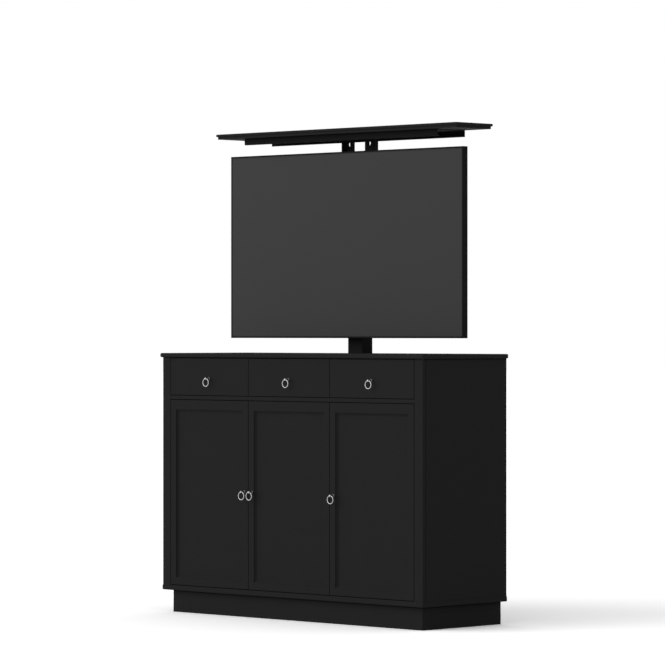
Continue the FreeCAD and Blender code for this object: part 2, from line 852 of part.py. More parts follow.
def make_head():
    """A folded bracket that caps the inner column and hangs a plate in front of it."""
    depth = "column_setback + (column_depth - stage_shrink) / 2 - head_front_setback"
    profile = [
        ("0", "head_plate - head_front_height"),
        ("head_plate", "head_plate - head_front_height"),
        ("head_plate", "0"),
        (depth, "0"),
        (depth, "head_plate"),
        ("0", "head_plate"),
    ]
    head = extrusion("head_blank", "YZ", [profile], "head_width", "-head_width / 2", "head_front",
                     "head_base")
    holes = [
        cylinder("head_hole", Y_AXIS, x, "head_front - head_plate", z,
                 "screw_radius + screw_fit", "3 * head_plate")
        for x, z in rail_screw_places()
    ]
    finished(cut(head, *holes), "head_bracket")
    rails = []
    for way in ("-1", "1"):
        middle = f"{way} * rail_spacing / 2"
        depth = "head_front - bulge_back"
        rail = box("tv_rail", f"{middle} - rail_width / 2", "bulge_back", "rail_base",
                   "rail_width", depth, "rail_length")
        hollow = box("tv_rail_hollow", f"{middle} - rail_width / 2 + rail_wall",
                     "bulge_back - rail_wall", "rail_base - rail_wall",
                     "rail_width - 2 * rail_wall", depth, "rail_length + 2 * rail_wall")
        bores = [
            cylinder("rail_hole", Y_AXIS, x, "bulge_back", z, "screw_radius + screw_fit",
                     "2 * rail_width")
            for x, z in rail_screw_places()
            if x == middle
        ]
        rails.append(cut(rail, hollow, *bores))
    finished(group("tv_rails", rails), "tv_rails")
    screws = [
        screw("rail_screw", -1 * Y_AXIS, "screw_head_height", x, "head_front + head_plate", z,
              "head_plate + rail_wall")
        for x, z in rail_screw_places()
    ]
    finished(group("tv_rail_screws", screws), "tv_rail_screws")


def make_posts():
    """Two channels between the head and the tray; they stand back to back in plan."""
    height = "lid_base - tray_sheet - head_top"
    middle = "front + post_setback + post_depth / 2"
    hole_level = "lid_base - post_hole_drop"
    for side, way in (("left", "-1"), ("right", "1")):
        centre = f"{way} * post_spacing / 2"
        blank = box(f"{side}_post_blank", f"{centre} - post_width / 2", "front + post_setback",
                    "head_top", "post_width", "post_depth", height)
        web = f"{middle} + {way} * post_wall - post_depth / 2"
        hollow = box(f"{side}_post_hollow", f"{centre} - post_width / 2 + post_wall", web,
                     "head_top - post_wall", "post_width - 2 * post_wall", "post_depth",
                     f"{height} + 2 * post_wall")
        hole = cylinder(f"{side}_post_hole", Y_AXIS, centre, "front + post_setback - post_depth",
                        hole_level, "post_hole_radius", "3 * post_depth")
        finished(cut(blank, hollow, hole), f"{side}_lid_post")


def make_lid():
    """The lid is a stepped board on an inverted folded tray."""
    lip = board("lid_lip", "-lid_length / 2", "lid_front", "raised_height - lid_lip",
                "lid_length", "lid_depth", "lid_lip", "front")
    step = box("lid_step", "lid_step - lid_length / 2", "lid_front + lid_step", "lid_base",
               "lid_length - 2 * lid_step", "lid_depth - 2 * lid_step",
               "lid_thickness - lid_lip")
    finished(fuse(lip, step), "lid_board")
    sheet_inside = "tray_depth - tray_sheet"
    profile = [
        ("0", "0"),
        ("tray_lip", "0"),
        ("tray_lip", "tray_sheet"),
        ("tray_sheet", "tray_sheet"),
        ("tray_sheet", "tray_height - tray_sheet"),
        (sheet_inside, "tray_height - tray_sheet"),
        (sheet_inside, "0"),
        ("tray_depth", "0"),
        ("tray_depth", "tray_height"),
        ("0", "tray_height"),
    ]
    finished(
        extrusion("lid_tray", "YZ", [profile], "tray_length", "-tray_length / 2",
                  "front + tray_setback", "lid_base - tray_height"),
        "lid_tray",
    )


# ---------------------------------------------------------------------------------------------
# Television
# ---------------------------------------------------------------------------------------------
def make_television():
    """A thin bezel around a flat screen, and a hollow back cover with a shallow bulge."""
    half = "tv_width / 2"
    frame = board("bezel_blank", f"-{half}", "tv_front", "tv_base", "tv_width", "bezel_depth",
                  "tv_height", "front")
    opening = box("bezel_window", f"bezel_width - {half}", "tv_front - bezel_depth",
                  "tv_base + bezel_width", "tv_width - 2 * bezel_width", "3 * bezel_depth",
                  "tv_height - 2 * bezel_width")
    finished(cut(frame, opening), "tv_bezel")
    finished(
        box("tv_screen", f"bezel_width - {half}", "tv_front + screen_recess",
            "tv_base + bezel_width", "tv_width - 2 * bezel_width", "screen_thickness",
            "tv_height - 2 * bezel_width"),
        "tv_screen",
    )
    cover_depth = "tv_thickness - bezel_depth"
    cover = box("cover_blank", f"-{half}", "cover_front", "tv_base", "tv_width", cover_depth,
                "tv_height")
    bulge = box("cover_bulge", "-bulge_width / 2", "cover_front", "bulge_base", "bulge_width",
                f"{cover_depth} + bulge_depth", "bulge_height")
    hollow = box("cover_hollow", f"cover_wall - {half}", "cover_front - cover_wall",
                 "tv_base + cover_wall", "tv_width - 2 * cover_wall", cover_depth,
                 "tv_height - 2 * cover_wall")
    bulge_hollow = box("bulge_hollow", "cover_wall - bulge_width / 2", "cover_front - cover_wall",
                       "bulge_base + cover_wall", "bulge_width - 2 * cover_wall",
                       f"{cover_depth} + bulge_depth", "bulge_height - 2 * cover_wall")
    finished(cut(fuse(cover, bulge), hollow, bulge_hollow), "tv_back_cover")


# ---------------------------------------------------------------------------------------------
# The whole cabinet
# ---------------------------------------------------------------------------------------------
def check_document():
    """Stops on any object that failed to build and on any sub-part that isn't sound."""
    for item in doc.Objects:
        faults = {"Invalid", "Error"} & set(item.State)
        if faults:
            raise RuntimeError(f"{item.Name} is {faults}")
    for piece in sub_parts:
        if piece.Shape.isNull() or not piece.Shape.isValid() or not piece.Shape.Solids:
            raise RuntimeError(f"{piece.Label} has no sound shape")


def write_parts():
    """Writes each sub-part to its own STEP file."""
    os.makedirs("parts", exist_ok=True)
    for piece in sub_parts:
        piece.Shape.exportStep(f"parts/{piece.Label}.step")
        print(f"{piece.Label}: {len(piece.Shape.Solids)} solids")


make_plinth()
make_bottom_board()
make_sides()
make_face_frame()
make_inner_boards()
make_shelves()
make_back()
make_top_board()
make_fronts()
make_lift_base()
make_stages()
make_head()
make_posts()
make_lid()
make_television()
doc.recompute()
check_document()
write_parts()
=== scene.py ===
"""The looks of a media cabinet with a motorised television lift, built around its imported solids.

Lengths are metres in the frame's own axes: X runs along the front, Y towards the back, Z up.
"""

import logging
import math
from collections.abc import Callable, Iterable, Sequence
from dataclasses import dataclass, replace
from enum import Enum

import bmesh
import bpy
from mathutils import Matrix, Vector


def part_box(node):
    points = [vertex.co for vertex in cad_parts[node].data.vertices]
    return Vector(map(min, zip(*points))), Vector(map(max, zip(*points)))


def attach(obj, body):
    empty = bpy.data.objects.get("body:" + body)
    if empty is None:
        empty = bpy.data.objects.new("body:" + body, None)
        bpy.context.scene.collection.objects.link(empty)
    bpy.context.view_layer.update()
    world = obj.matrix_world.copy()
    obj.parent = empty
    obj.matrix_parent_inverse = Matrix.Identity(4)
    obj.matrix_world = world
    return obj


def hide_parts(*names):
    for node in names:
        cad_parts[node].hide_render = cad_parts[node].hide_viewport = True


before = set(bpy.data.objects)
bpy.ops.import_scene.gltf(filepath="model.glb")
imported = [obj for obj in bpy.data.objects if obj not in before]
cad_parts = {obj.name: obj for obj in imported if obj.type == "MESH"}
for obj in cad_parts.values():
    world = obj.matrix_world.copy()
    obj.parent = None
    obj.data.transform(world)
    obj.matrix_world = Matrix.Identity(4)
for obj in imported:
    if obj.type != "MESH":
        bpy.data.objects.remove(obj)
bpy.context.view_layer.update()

log = logging.getLogger("tv_lift_cabinet")

MM = 0.001
# Places closer than this count as one.
SAME_PLACE = 0.01 * MM
# How far a cutting tool reaches past the faces that it cuts.
BEYOND = 1 * MM
# The least part of a face's normal that points the way the face is picked by.
FACING = 0.9
# Faces that turn by more than this many degrees meet at a sharp edge.
SHARP = 28
COLUMNS = ("left", "middle", "right")
Colour = tuple[float, float, float]


class Axis(Enum):
    """The frame's axes, as unit vectors."""

    X = Vector((1, 0, 0))
    Y = Vector((0, 1, 0))
    Z = Vector((0, 0, 1))

    def turn(self) -> tuple[float, float, float]:
        """The turn that lays a primitive's own Z along this axis."""
        return {"X": (0, math.pi / 2, 0), "Y": (-math.pi / 2, 0, 0), "Z": (0, 0, 0)}[self.name]


# ---------------------------------------------------------------------------------------------
# Shading
# ---------------------------------------------------------------------------------------------
class Value:
    """A node's output, with the arithmetic that the finishes use."""

    def __init__(self, shader: "Shader", socket: bpy.types.NodeSocket) -> None:
        """Wraps an output socket of a node tree."""
        self.shader = shader
        self.socket = socket

    def math(self, operation: str, first: "Value | float", second: "Value | float") -> "Value":
        """The output of a new Math node with an operation by its Blender name."""
        return self.shader.node("ShaderNodeMath", {"operation": operation}, {0: first, 1: second})

    def __add__(self, other: "Value | float") -> "Value":
        """The sum of two values."""
        return self.math("ADD", self, other)

    __radd__ = __add__

    def __sub__(self, other: "Value | float") -> "Value":
        """The difference of two values."""
        return self.math("SUBTRACT", self, other)

    def __rsub__(self, other: "Value | float") -> "Value":
        """A number less this value."""
        return self.math("SUBTRACT", other, self)

    def __mul__(self, other: "Value | float") -> "Value":
        """The product of two values."""
        return self.math("MULTIPLY", self, other)

    __rmul__ = __mul__

    def __gt__(self, other: "Value | float") -> "Value":
        """1 where this value is the greater one, and 0 elsewhere."""
        return self.math("GREATER_THAN", self, other)

    def __abs__(self) -> "Value":
        """The value without its sign."""
        return self.math("ABSOLUTE", self, 0.0)

    def highest(self, other: "Value | float") -> "Value":
        """The greater of two values."""
        return self.math("MAXIMUM", self, other)


class Shader:
    """The node tree of a material or of the world."""

    def __init__(self, tree: bpy.types.NodeTree) -> None:
        """Empties a tree, for the nodes that are added next."""
        self.tree = tree
        tree.nodes.clear()

    def node(
        self,
        kind: str,
        settings: dict | None = None,
        inputs: dict | None = None,
        output: int | str = 0,
    ) -> Value | None:
        """Adds a node.

        Args:
            kind: Blender's name of the node type.
            settings: Properties of the node.
            inputs: Values or links by the socket's name or number.
            output: The output that is given back.

        Returns:
            The output, ready for arithmetic, or None for a node that has none.
        """
        made = self.tree.nodes.new(kind)
        for name, setting in (settings or {}).items():
            setattr(made, name, setting)
        for name, source in (inputs or {}).items():
            if isinstance(source, Value):
                self.tree.links.new(source.socket, made.inputs[name])
            else:
                made.inputs[name].default_value = source
        return Value(self, made.outputs[output]) if made.outputs else None

    def place(self, stretch: Sequence[float] = (1, 1, 1)) -> Value:
        """The place on the object in metres, with a stretch that draws a pattern closer."""
        place = self.node("ShaderNodeTexCoord", output="Object")
        return self.node("ShaderNodeMapping", inputs={"Vector": place, "Scale": tuple(stretch)})

    def noise(self, place: Value, size: float, detail: float = 2.0) -> Value:
        """A pattern around 0.5, with clouds of a size in metres and some finer layers."""
        inputs = {"Vector": place, "Scale": 1 / size, "Detail": detail, "Roughness": 0.55}
        return self.node("ShaderNodeTexNoise", inputs=inputs)

    def mix(self, share: Value | float, first: Colour | Value, second: Colour | Value) -> Value:
        """A colour between two.

        Args:
            share: How much of the second there is, from 0 to 1.
            first: The first colour.
            second: The second colour.

        Returns:
            The mixed colour.
        """
        ends = [(*end, 1) if isinstance(end, tuple) else end for end in (first, second)]
        return self.node(
            "ShaderNodeMix",
            {"data_type": "RGBA", "clamp_factor": True},
            {0: share, 6: ends[0], 7: ends[1]},
            output=2,
        )


@dataclass(frozen=True)
class Surface:
    """What a finish does over a surface: its colour, its roughness and the height of its relief."""

    colour: Value
    roughness: Value
    height: Value


@dataclass(frozen=True)
class Finish:
    """A finish: its colour, gloss and relief, and the record's slot that it belongs to."""

    name: str
    slot: str
    colour: Colour
    roughness: float
    relief: float
    specular: float = 0.5
    metallic: float = 0.0
    tone: float = 0.12

    def shade(self, factor: float) -> Colour:
        """The colour made lighter or darker by a factor."""
        return tuple(min(part * factor, 1.0) for part in self.colour)

    def toned(self, shader: Shader, pattern: Value) -> Value:
        """The colour, from its darkest where a pattern is 0 to its lightest where it is 1."""
        return shader.mix(pattern, self.shade(1 - self.tone), self.shade(1 + self.tone))

    def surface(self, shader: Shader) -> Surface:
        """The colour, roughness and height; each kind of finish draws its own."""
        raise NotImplementedError

    def material(self) -> bpy.types.Material:
        """The material, made when it is first asked for."""
        found = bpy.data.materials.get(self.name)
        if found is not None:
            return found
        made = bpy.data.materials.new(self.name)
        made.use_nodes = True
        made.diffuse_color = (*self.colour, 1)
        shader = Shader(made.node_tree)
        surface = self.surface(shader)
        normal = shader.node(
            "ShaderNodeBump",
            inputs={"Strength": 1.0, "Distance": self.relief, "Height": surface.height},
        )
        principled = shader.node(
            "ShaderNodeBsdfPrincipled",
            inputs={
                "Base Color": surface.colour,
                "Roughness": surface.roughness,
                "Metallic": self.metallic,
                "Specular IOR Level": self.specular,
                "Normal": normal,
            },
        )
        shader.node("ShaderNodeOutputMaterial", inputs={"Surface": principled})
        return made

    def dress(self, *nodes: str) -> None:
        """Gives this finish to nodes of the frame, by their names.

        Args:
            nodes: The names.
        """
        for node in nodes:
            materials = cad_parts[node].data.materials
            materials.clear()
            materials.append(self.material())


class Grain(Enum):
    """The way the board's grain runs, as the stretch of its pattern along each axis."""

    ALONG_X = (0.06, 1.0, 1.0)
    ALONG_Y = (1.0, 0.06, 1.0)
    ALONG_Z = (1.0, 1.0, 0.06)


@dataclass(frozen=True)
class Lacquer(Finish):
    """Satin lacquer on board: faint grain under a slightly uneven sprayed film."""

    grain: Grain = Grain.ALONG_X

    def surface(self, shader: Shader) -> Surface:
        """Spray peel over grain lines, with soft changes of tone and gloss."""
        clouds = shader.noise(shader.place(), 90 * MM)
        grain = shader.noise(shader.place(self.grain.value), 2.4 * MM, 3.0)
        peel = shader.noise(shader.place(), 1.6 * MM, 1.0)
        tone = clouds * 0.7 + grain * 0.3
        return Surface(
            self.toned(shader, tone),
            self.roughness - 0.06 + clouds * 0.08 + grain * 0.04,
            peel * 0.6 + grain * 0.4,
        )


@dataclass(frozen=True)
class Board(Finish):
    """Faced board with short pressed pores."""

    grain: Grain = Grain.ALONG_X

    def surface(self, shader: Shader) -> Surface:
        """Pores along the grain over broad changes of tone."""
        broad = shader.noise(shader.place(self.grain.value), 14 * MM, 3.0)
        pores = shader.noise(shader.place(self.grain.value), 0.9 * MM, 2.0)
        return Surface(
            self.toned(shader, broad),
            self.roughness - 0.05 + pores * 0.1,
            pores * 0.7 + broad * 0.3,
        )


@dataclass(frozen=True)
class PowderCoat(Finish):
    """Fine-textured powder coat on steel."""

    def surface(self, shader: Shader) -> Surface:
        """A close pimpled texture with a few larger swells."""
        fine = shader.noise(shader.place(), 0.8 * MM, 2.0)
        swell = shader.noise(shader.place(), 9 * MM, 1.0)
        return Surface(
            self.toned(shader, fine),
            self.roughness - 0.05 + fine * 0.1,
            fine * 0.7 + swell * 0.3,
        )


@dataclass(frozen=True)
class Plating(Finish):
    """Plated metal with the fine lines that polishing leaves."""

    def surface(self, shader: Shader) -> Surface:
        """Close lines across the piece, with clouded gloss."""
        lines = shader.noise(shader.place((1.0, 1.0, 9.0)), 0.9 * MM, 3.0)
        clouds = shader.noise(shader.place(), 6 * MM, 2.0)
        return Surface(
            self.toned(shader, clouds),
            self.roughness - 0.08 + clouds * 0.1 + lines * 0.06,
            lines,
        )


@dataclass(frozen=True)
class ShadedPlating(Plating):
    """Plating with painted shade: its full colour at the ball, darkening to near black against the
    wood.
    """

    # The painted shade: how dark it makes the colour at the wood, and the depths along Y where it
    # is darkest and where it ends.
    wood_shade_factor: float = 0.07
    wood: float = -0.195
    bright: float = -0.206

    def surface(self, shader: Shader) -> Surface:
        """The plating's lines and clouds, darkened towards the wood by painted shade."""
        plain = super().surface(shader)
        depth = shader.node("ShaderNodeSeparateXYZ", inputs={"Vector": shader.place()}, output="Y")
        # Share of painted shade: 0 at the ball, rising to 1 at the wood.
        wood_shading = (depth - self.bright) * (1 / (self.wood - self.bright))
        shade = self.shade(self.wood_shade_factor)
        return Surface(shader.mix(wood_shading, plain.colour, shade), plain.roughness, plain.height)


@dataclass(frozen=True)
class Moulding(Finish):
    """Moulded plastic with a fine spark-eroded grain."""

    def surface(self, shader: Shader) -> Surface:
        """A close grain, slightly glossier on its crests."""
        grain = shader.noise(shader.place(), 0.55 * MM, 2.0)
        flow = shader.noise(shader.place(), 40 * MM, 1.0)
        return Surface(
            self.toned(shader, flow),
            self.roughness + 0.04 - grain * 0.08,
            grain,
        )


@dataclass(frozen=True)
class ScreenGlass(Finish):
    """An unlit anti-glare panel with a darker border where there are no cells."""

    half_width: float = 0.56
    low: float = 0.97
    high: float = 1.61
    border: float = 3 * MM

    def surface(self, shader: Shader) -> Surface:
        """A fine etch all over and a black margin along the four edges."""
        etch = shader.noise(shader.place(), 0.4 * MM, 1.0)
        clouds = shader.noise(shader.place(), 300 * MM, 1.0)
        split = {
            way: shader.node("ShaderNodeSeparateXYZ", inputs={"Vector": shader.place()}, output=way)
            for way in ("X", "Z")
        }
        level = abs(split["Z"] - (self.low + self.high) / 2)
        margin = (abs(split["X"]) > self.half_width - self.border).highest(
            level > (self.high - self.low) / 2 - self.border
        )
        cells = self.toned(shader, clouds)
        return Surface(
            shader.mix(margin, cells, self.shade(0.3)),
            self.roughness - 0.03 + etch * 0.06,
            etch,
        )


BLACK = (0.0179, 0.0179, 0.018)
LACQUER_ALONG_X = Lacquer("satin_lacquer_level", "black_lacquer", BLACK, 0.72, 0.012 * MM, 0.03)
LACQUER_ALONG_Y = replace(LACQUER_ALONG_X, name="satin_lacquer_deep", grain=Grain.ALONG_Y)
LACQUER_ALONG_Z = replace(LACQUER_ALONG_X, name="satin_lacquer_upright", grain=Grain.ALONG_Z)
# The top and the lid get a copy of the lacquer that is a little rougher and a little lighter: the
# lighter colour is painted sheen, standing in for what the rougher gloss no longer reflects.
TOP_LACQUER = replace(
    LACQUER_ALONG_X, name="satin_lacquer_top", colour=(0.0188, 0.0188, 0.0189), roughness=0.74
)
INNER_ALONG_X = Board(
    "inner_board_level", "inner_board", (0.026, 0.026, 0.0265), 0.6, 0.03 * MM, 0.1, tone=0.18
)
INNER_ALONG_Z = replace(INNER_ALONG_X, name="inner_board_upright", grain=Grain.ALONG_Z)
# The column, its base and the posts get a lighter copy of the black powder coat below: painted
# light on faces that sit in shade under the lid and inside the channels.
LIGHTENED_LIFT_COAT = PowderCoat(
    "lift_powder_coat", "black_steel", (0.016, 0.016, 0.0161), 0.8, 0.03 * MM, 0.02
)
POWDER_COAT = replace(LIGHTENED_LIFT_COAT, name="black_powder_coat", colour=(0.0115, 0.0115, 0.0116))
ZINC = Plating(
    "bright_zinc", "zinc_steel", (0.55, 0.56, 0.57), 0.36, 0.004 * MM, metallic=1.0, tone=0.08
)
# Satin nickel, with painted shade towards the wood.
NICKEL = ShadedPlating(
    "satin_nickel_plate", "satin_nickel", (0.37, 0.37, 0.366), 0.3, 0.003 * MM,
    metallic=1.0, tone=0.05,
)
PLASTIC = Moulding(
    "matt_black_plastic", "black_plastic", (0.007, 0.007, 0.0072), 0.6, 0.02 * MM, 0.035
)


# ---------------------------------------------------------------------------------------------
# Shaping
# ---------------------------------------------------------------------------------------------
@dataclass(frozen=True)
class Extent:
    """The block of space between two corners."""

    low: Vector
    high: Vector

    @classmethod
    def of(cls, node: str) -> "Extent":
        """The block that a node of the frame fills at rest."""
        return cls(*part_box(node))

    @classmethod
    def between(cls, corner: Sequence[float], opposite: Sequence[float]) -> "Extent":
        """The block between two opposite corners, in either order."""
        return cls(*(Vector([*map(pick, corner, opposite)]) for pick in (min, max)))

    @property
    def size(self) -> Vector:
        """Its lengths along the three axes."""
        return self.high - self.low

    @property
    def centre(self) -> Vector:
        """Its middle."""
        return (self.low + self.high) / 2

    def grown(self, by: Sequence[float]) -> "Extent":
        """The block with its faces moved out by a distance on each axis."""
        return Extent(self.low - Vector(by), self.high + Vector(by))

    def limited(self, **limits: tuple[float, float]) -> "Extent":
        """The block with other limits along some axes.

        Args:
            limits: The two limits, in either order, by the small letter of their axis.

        Returns:
            The block between them.
        """
        low, high = self.low.copy(), self.high.copy()
        for axis, pair in limits.items():
            setattr(low, axis, min(pair))
            setattr(high, axis, max(pair))
        return Extent(low, high)

    def ends(self, width: float) -> "tuple[Extent, Extent]":
        """The slices of a width at its low and its high end along X."""
        return tuple(self.limited(x=(end, end + way * width)) for end, way in self.sides())

    def sides(self) -> tuple[tuple[float, int], tuple[float, int]]:
        """Where its ends lie along X, each with the way from there into the block."""
        return (self.low.x, 1), (self.high.x, -1)

    def outer_and_inner(self, way: int) -> tuple[float, float]:
        """Where its outer and its inner face lie along X: 1 is on the right, -1 on the left."""
        return (self.high.x, self.low.x) if way > 0 else (self.low.x, self.high.x)


def lone(obj: bpy.types.Object) -> None:
    """Closes edit mode, and makes an object the only selected one and the active one.

    Args:
        obj: The object.
    """
    if bpy.context.mode != "OBJECT":
        bpy.ops.object.mode_set(mode="OBJECT")
    bpy.ops.object.select_all(action="DESELECT")
    obj.select_set(True)
    bpy.context.view_layer.objects.active = obj


FaceTest = Callable[[Vector, Vector], bool]
EdgeTest = Callable[[Vector, Vector], bool]


class Workpiece:
    """A mesh that is shaped by hand: a primitive, edit-mode operators and applied modifiers."""

    def __init__(self, name: str) -> None:
        """Takes the primitive that was just added.

        Args:
            name: The name of the piece.
        """
        self.obj = bpy.context.object
        self.obj.name = name
        self.obj.data.name = name
        bpy.ops.object.transform_apply(location=True, rotation=True, scale=True)

    # starting shapes ------------------------------------------------------------------------
    @classmethod
    def start(
        cls, name: str, primitive: Callable[..., set[str]], **settings: object
    ) -> "Workpiece":
        """Adds a primitive with nothing else selected, and takes it.

        Args:
            name: The name of the piece.
            primitive: The operator that adds it.
            settings: The operator's settings.

        Returns:
            The new piece.
        """
        bpy.ops.object.select_all(action="DESELECT")
        primitive(**settings)
        return cls(name)

    @classmethod
    def block(cls, name: str, extent: Extent) -> "Workpiece":
        """A rectangular block that fills a space."""
        return cls.start(
            name, bpy.ops.mesh.primitive_cube_add, size=1, location=extent.centre, scale=extent.size
        )

    @classmethod
    def rounded(
        cls, name: str, extent: Extent, axis: Axis, radius: float, segments: int = 4
    ) -> "Workpiece":
        """A block that fills a space, with its edges along one axis rounded."""
        return cls.block(name, extent).edges(runs(axis)).round_picked(radius, segments)

    @classmethod
    def rod(
        cls, name: str, start: Vector, axis: Axis, radius: float, length: float, sides: int = 48
    ) -> "Workpiece":
        """A round bar.

        Args:
            name: The name of the piece.
            start: The middle of its first end.
            axis: The axis that it lies along.
            radius: Its radius.
            length: Its length, negative to run the other way.
            sides: How many flats make it round.

        Returns:
            The new piece.
        """
        return cls.start(
            name,
            bpy.ops.mesh.primitive_cylinder_add,
            vertices=sides,
            radius=radius,
            depth=abs(length),
            location=start + axis.value * (length / 2),
            rotation=axis.turn(),
        )

    @classmethod
    def turned(
        cls,
        name: str,
        start: Vector,
        axis: Axis,
        profile: Sequence[tuple[float, float]],
        sides: int = 48,
    ) -> "Workpiece":
        """A turned piece: a disc that is drawn out and widened or narrowed step by step.

        Args:
            name: The name of the piece.
            start: The point on the axis that distances are measured from.
            axis: The axis that it is turned about.
            profile: Distances along the axis and radii there.
            sides: How many flats make it round.

        Returns:
            The new piece.
        """
        first, radius = profile[0]
        piece = cls.start(
            name,
            bpy.ops.mesh.primitive_circle_add,
            vertices=sides,
            radius=radius,
            fill_type="NGON",
            location=start + axis.value * first,
            rotation=axis.turn(),
        )
        bpy.ops.object.mode_set(mode="EDIT")
        bpy.ops.mesh.select_mode(type="FACE")
        bpy.ops.mesh.select_all(action="SELECT")
        for (before, narrow), (after, wide) in zip(profile, profile[1:]):
            step = axis.value * (after - before)
            bpy.ops.mesh.extrude_region_move(TRANSFORM_OT_translate={"value": step})
            bpy.ops.transform.resize(
                value=(wide / narrow,) * 3, center_override=start + axis.value * after
            )
        bpy.ops.mesh.select_all(action="SELECT")
        bpy.ops.mesh.normals_make_consistent(inside=False)
        bpy.ops.object.mode_set(mode="OBJECT")
        return piece

    @classmethod
    def folded(
        cls,
        name: str,
        corners: Sequence[Vector],
        along: Vector,
        inward: Vector,
        sheet: float,
        bend: float,
    ) -> "Workpiece":
        """A folded sheet: a strip drawn out corner by corner, bent at its folds and thickened.

        Args:
            name: The name of the piece.
            corners: The outer face's corners at one end of the folds, in order.
            along: The length and direction of the folds.
            inward: The way from the first strip's outer face into the sheet.
            sheet: The thickness.
            bend: The outer radius of a fold.

        Returns:
            The new piece.
        """
        piece = cls.start(name, bpy.ops.mesh.primitive_plane_add, size=1)
        ends = [corners[0], corners[0] + along, corners[1], corners[1] + along]
        for vertex, end in zip(piece.obj.data.vertices, ends):
            vertex.co = end
        for before, after in zip(corners[1:], corners[2:]):
            piece.edges(lambda one, two, at=before: near(one, two, at, at + along))
            bpy.ops.mesh.extrude_region_move(TRANSFORM_OT_translate={"value": after - before})
            bpy.ops.object.mode_set(mode="OBJECT")
        folds = corners[1:-1]
        piece.edges(lambda one, two: any(near(one, two, at, at + along) for at in folds))
        bpy.ops.mesh.bevel(offset=bend, segments=5, affect="EDGES")
        bpy.ops.mesh.select_all(action="SELECT")
        bpy.ops.mesh.normals_make_consistent(inside=False)
        bpy.ops.object.mode_set(mode="OBJECT")
        middle = (corners[0] + corners[1] + along) / 2
        strips = piece.obj.data.polygons
        if min(strips, key=lambda strip: (strip.center - middle).length).normal.dot(inward) > 0:
            piece.flip()
        return piece.modify("SOLIDIFY", thickness=sheet, offset=-1, use_even_offset=True)

    def flip(self) -> "Workpiece":
        """Turns every face round."""
        self.faces(lambda centre, normal: True)
        bpy.ops.mesh.flip_normals()
        return self.leave()

    # picking and shaping --------------------------------------------------------------------
    def _enter(self, kind: str) -> bmesh.types.BMesh:
        """Opens the piece in edit mode with nothing selected.

        Args:
            kind: FACE, EDGE or VERT.

        Returns:
            The mesh that is being edited.
        """
        lone(self.obj)
        bpy.ops.object.mode_set(mode="EDIT")
        bpy.ops.mesh.select_mode(type=kind)
        bpy.ops.mesh.select_all(action="DESELECT")
        return bmesh.from_edit_mesh(self.obj.data)

    def faces(self, test: FaceTest) -> "Workpiece":
        """Picks the faces whose middle and normal pass a test, and stays in edit mode.

        Args:
            test: The test.

        Returns:
            The piece.
        """
        mesh = self._enter("FACE")
        for face in mesh.faces:
            face.select_set(test(face.calc_center_median(), face.normal))
        bmesh.update_edit_mesh(self.obj.data)
        return self

    def edges(self, test: EdgeTest) -> "Workpiece":
        """Picks the edges whose two ends pass a test, and stays in edit mode.

        Args:
            test: The test.

        Returns:
            The piece.
        """
        mesh = self._enter("EDGE")
        for edge in mesh.edges:
            edge.select_set(test(edge.verts[0].co, edge.verts[1].co))
        bmesh.update_edit_mesh(self.obj.data)
        return self

    def leave(self) -> "Workpiece":
        """Closes edit mode."""
        bpy.ops.object.mode_set(mode="OBJECT")
        return self

    def inset(self, width: float, depth: float = 0.0) -> "Workpiece":
        """Insets the picked faces and moves them out by a depth, and stays in edit mode."""
        bpy.ops.mesh.inset(thickness=width, depth=depth, use_even_offset=True)
        return self

    def move(self, by: Sequence[float]) -> "Workpiece":
        """Moves what is picked, and stays in edit mode."""
        bpy.ops.transform.translate(value=by)
        return self

    def draw_out(self, by: Sequence[float]) -> "Workpiece":
        """Extrudes the picked faces, and stays in edit mode."""
        bpy.ops.mesh.extrude_region_move(TRANSFORM_OT_translate={"value": by})
        return self

    def round_picked(self, radius: float, segments: int = 4) -> "Workpiece":
        """Rounds the picked edges with a number of strips, and closes edit mode."""
        bpy.ops.mesh.bevel(offset=radius, segments=segments, affect="EDGES", clamp_overlap=True)
        return self.leave()

    def modify(self, kind: str, **settings: object) -> "Workpiece":
        """Adds a modifier and applies it.

        Args:
            kind: Blender's name of the modifier type.
            settings: Its properties.

        Returns:
            The piece.
        """
        lone(self.obj)
        bpy.ops.object.modifier_add(type=kind)
        modifier = self.obj.modifiers[-1]
        for name, setting in settings.items():
            setattr(modifier, name, setting)
        bpy.ops.object.modifier_apply(modifier=modifier.name)
        return self

    def soften(self, width: float, segments: int = 2) -> "Workpiece":
        """Rounds every sharp edge from a width on each side of it, with a number of strips."""
        return self.modify(
            "BEVEL", width=width, segments=segments, limit_method="ANGLE",
            angle_limit=math.radians(SHARP), use_clamp_overlap=True,
        )

    def cut(self, *tools: "Workpiece", operation: str = "DIFFERENCE") -> "Workpiece":
        """Takes other pieces away from this one, which uses them up.

        Args:
            tools: The pieces that are taken away.
            operation: Blender's name of what is done with them.

        Returns:
            The piece.
        """
        for tool in tools:
            self.modify("BOOLEAN", operation=operation, object=tool.obj, solver="EXACT")
            bpy.data.objects.remove(tool.obj)
        return self

    def hollow(self, *spaces: Extent) -> "Workpiece":
        """Cuts rectangular spaces out of the piece."""
        return self.cut(*(Workpiece.block("hollow", space) for space in spaces))

    def drill(
        self, start: Sequence[float], axis: Axis, radius: float, length: float, sides: int = 32
    ) -> "Workpiece":
        """Drills a round hole from a start, against the axis where its length is negative."""
        return self.cut(Workpiece.rod("hole", Vector(start), axis, radius, length, sides))

    def weld(self, *others: "Workpiece") -> "Workpiece":
        """Makes one solid of this piece and others that it meets."""
        return self.cut(*others, operation="UNION")

    def join(self, *others: "Workpiece") -> "Workpiece":
        """Puts other pieces' meshes into this one's.

        Args:
            others: The pieces that are taken in.

        Returns:
            The piece.
        """
        lone(self.obj)
        for other in others:
            other.obj.select_set(True)
        bpy.ops.object.join()
        return self

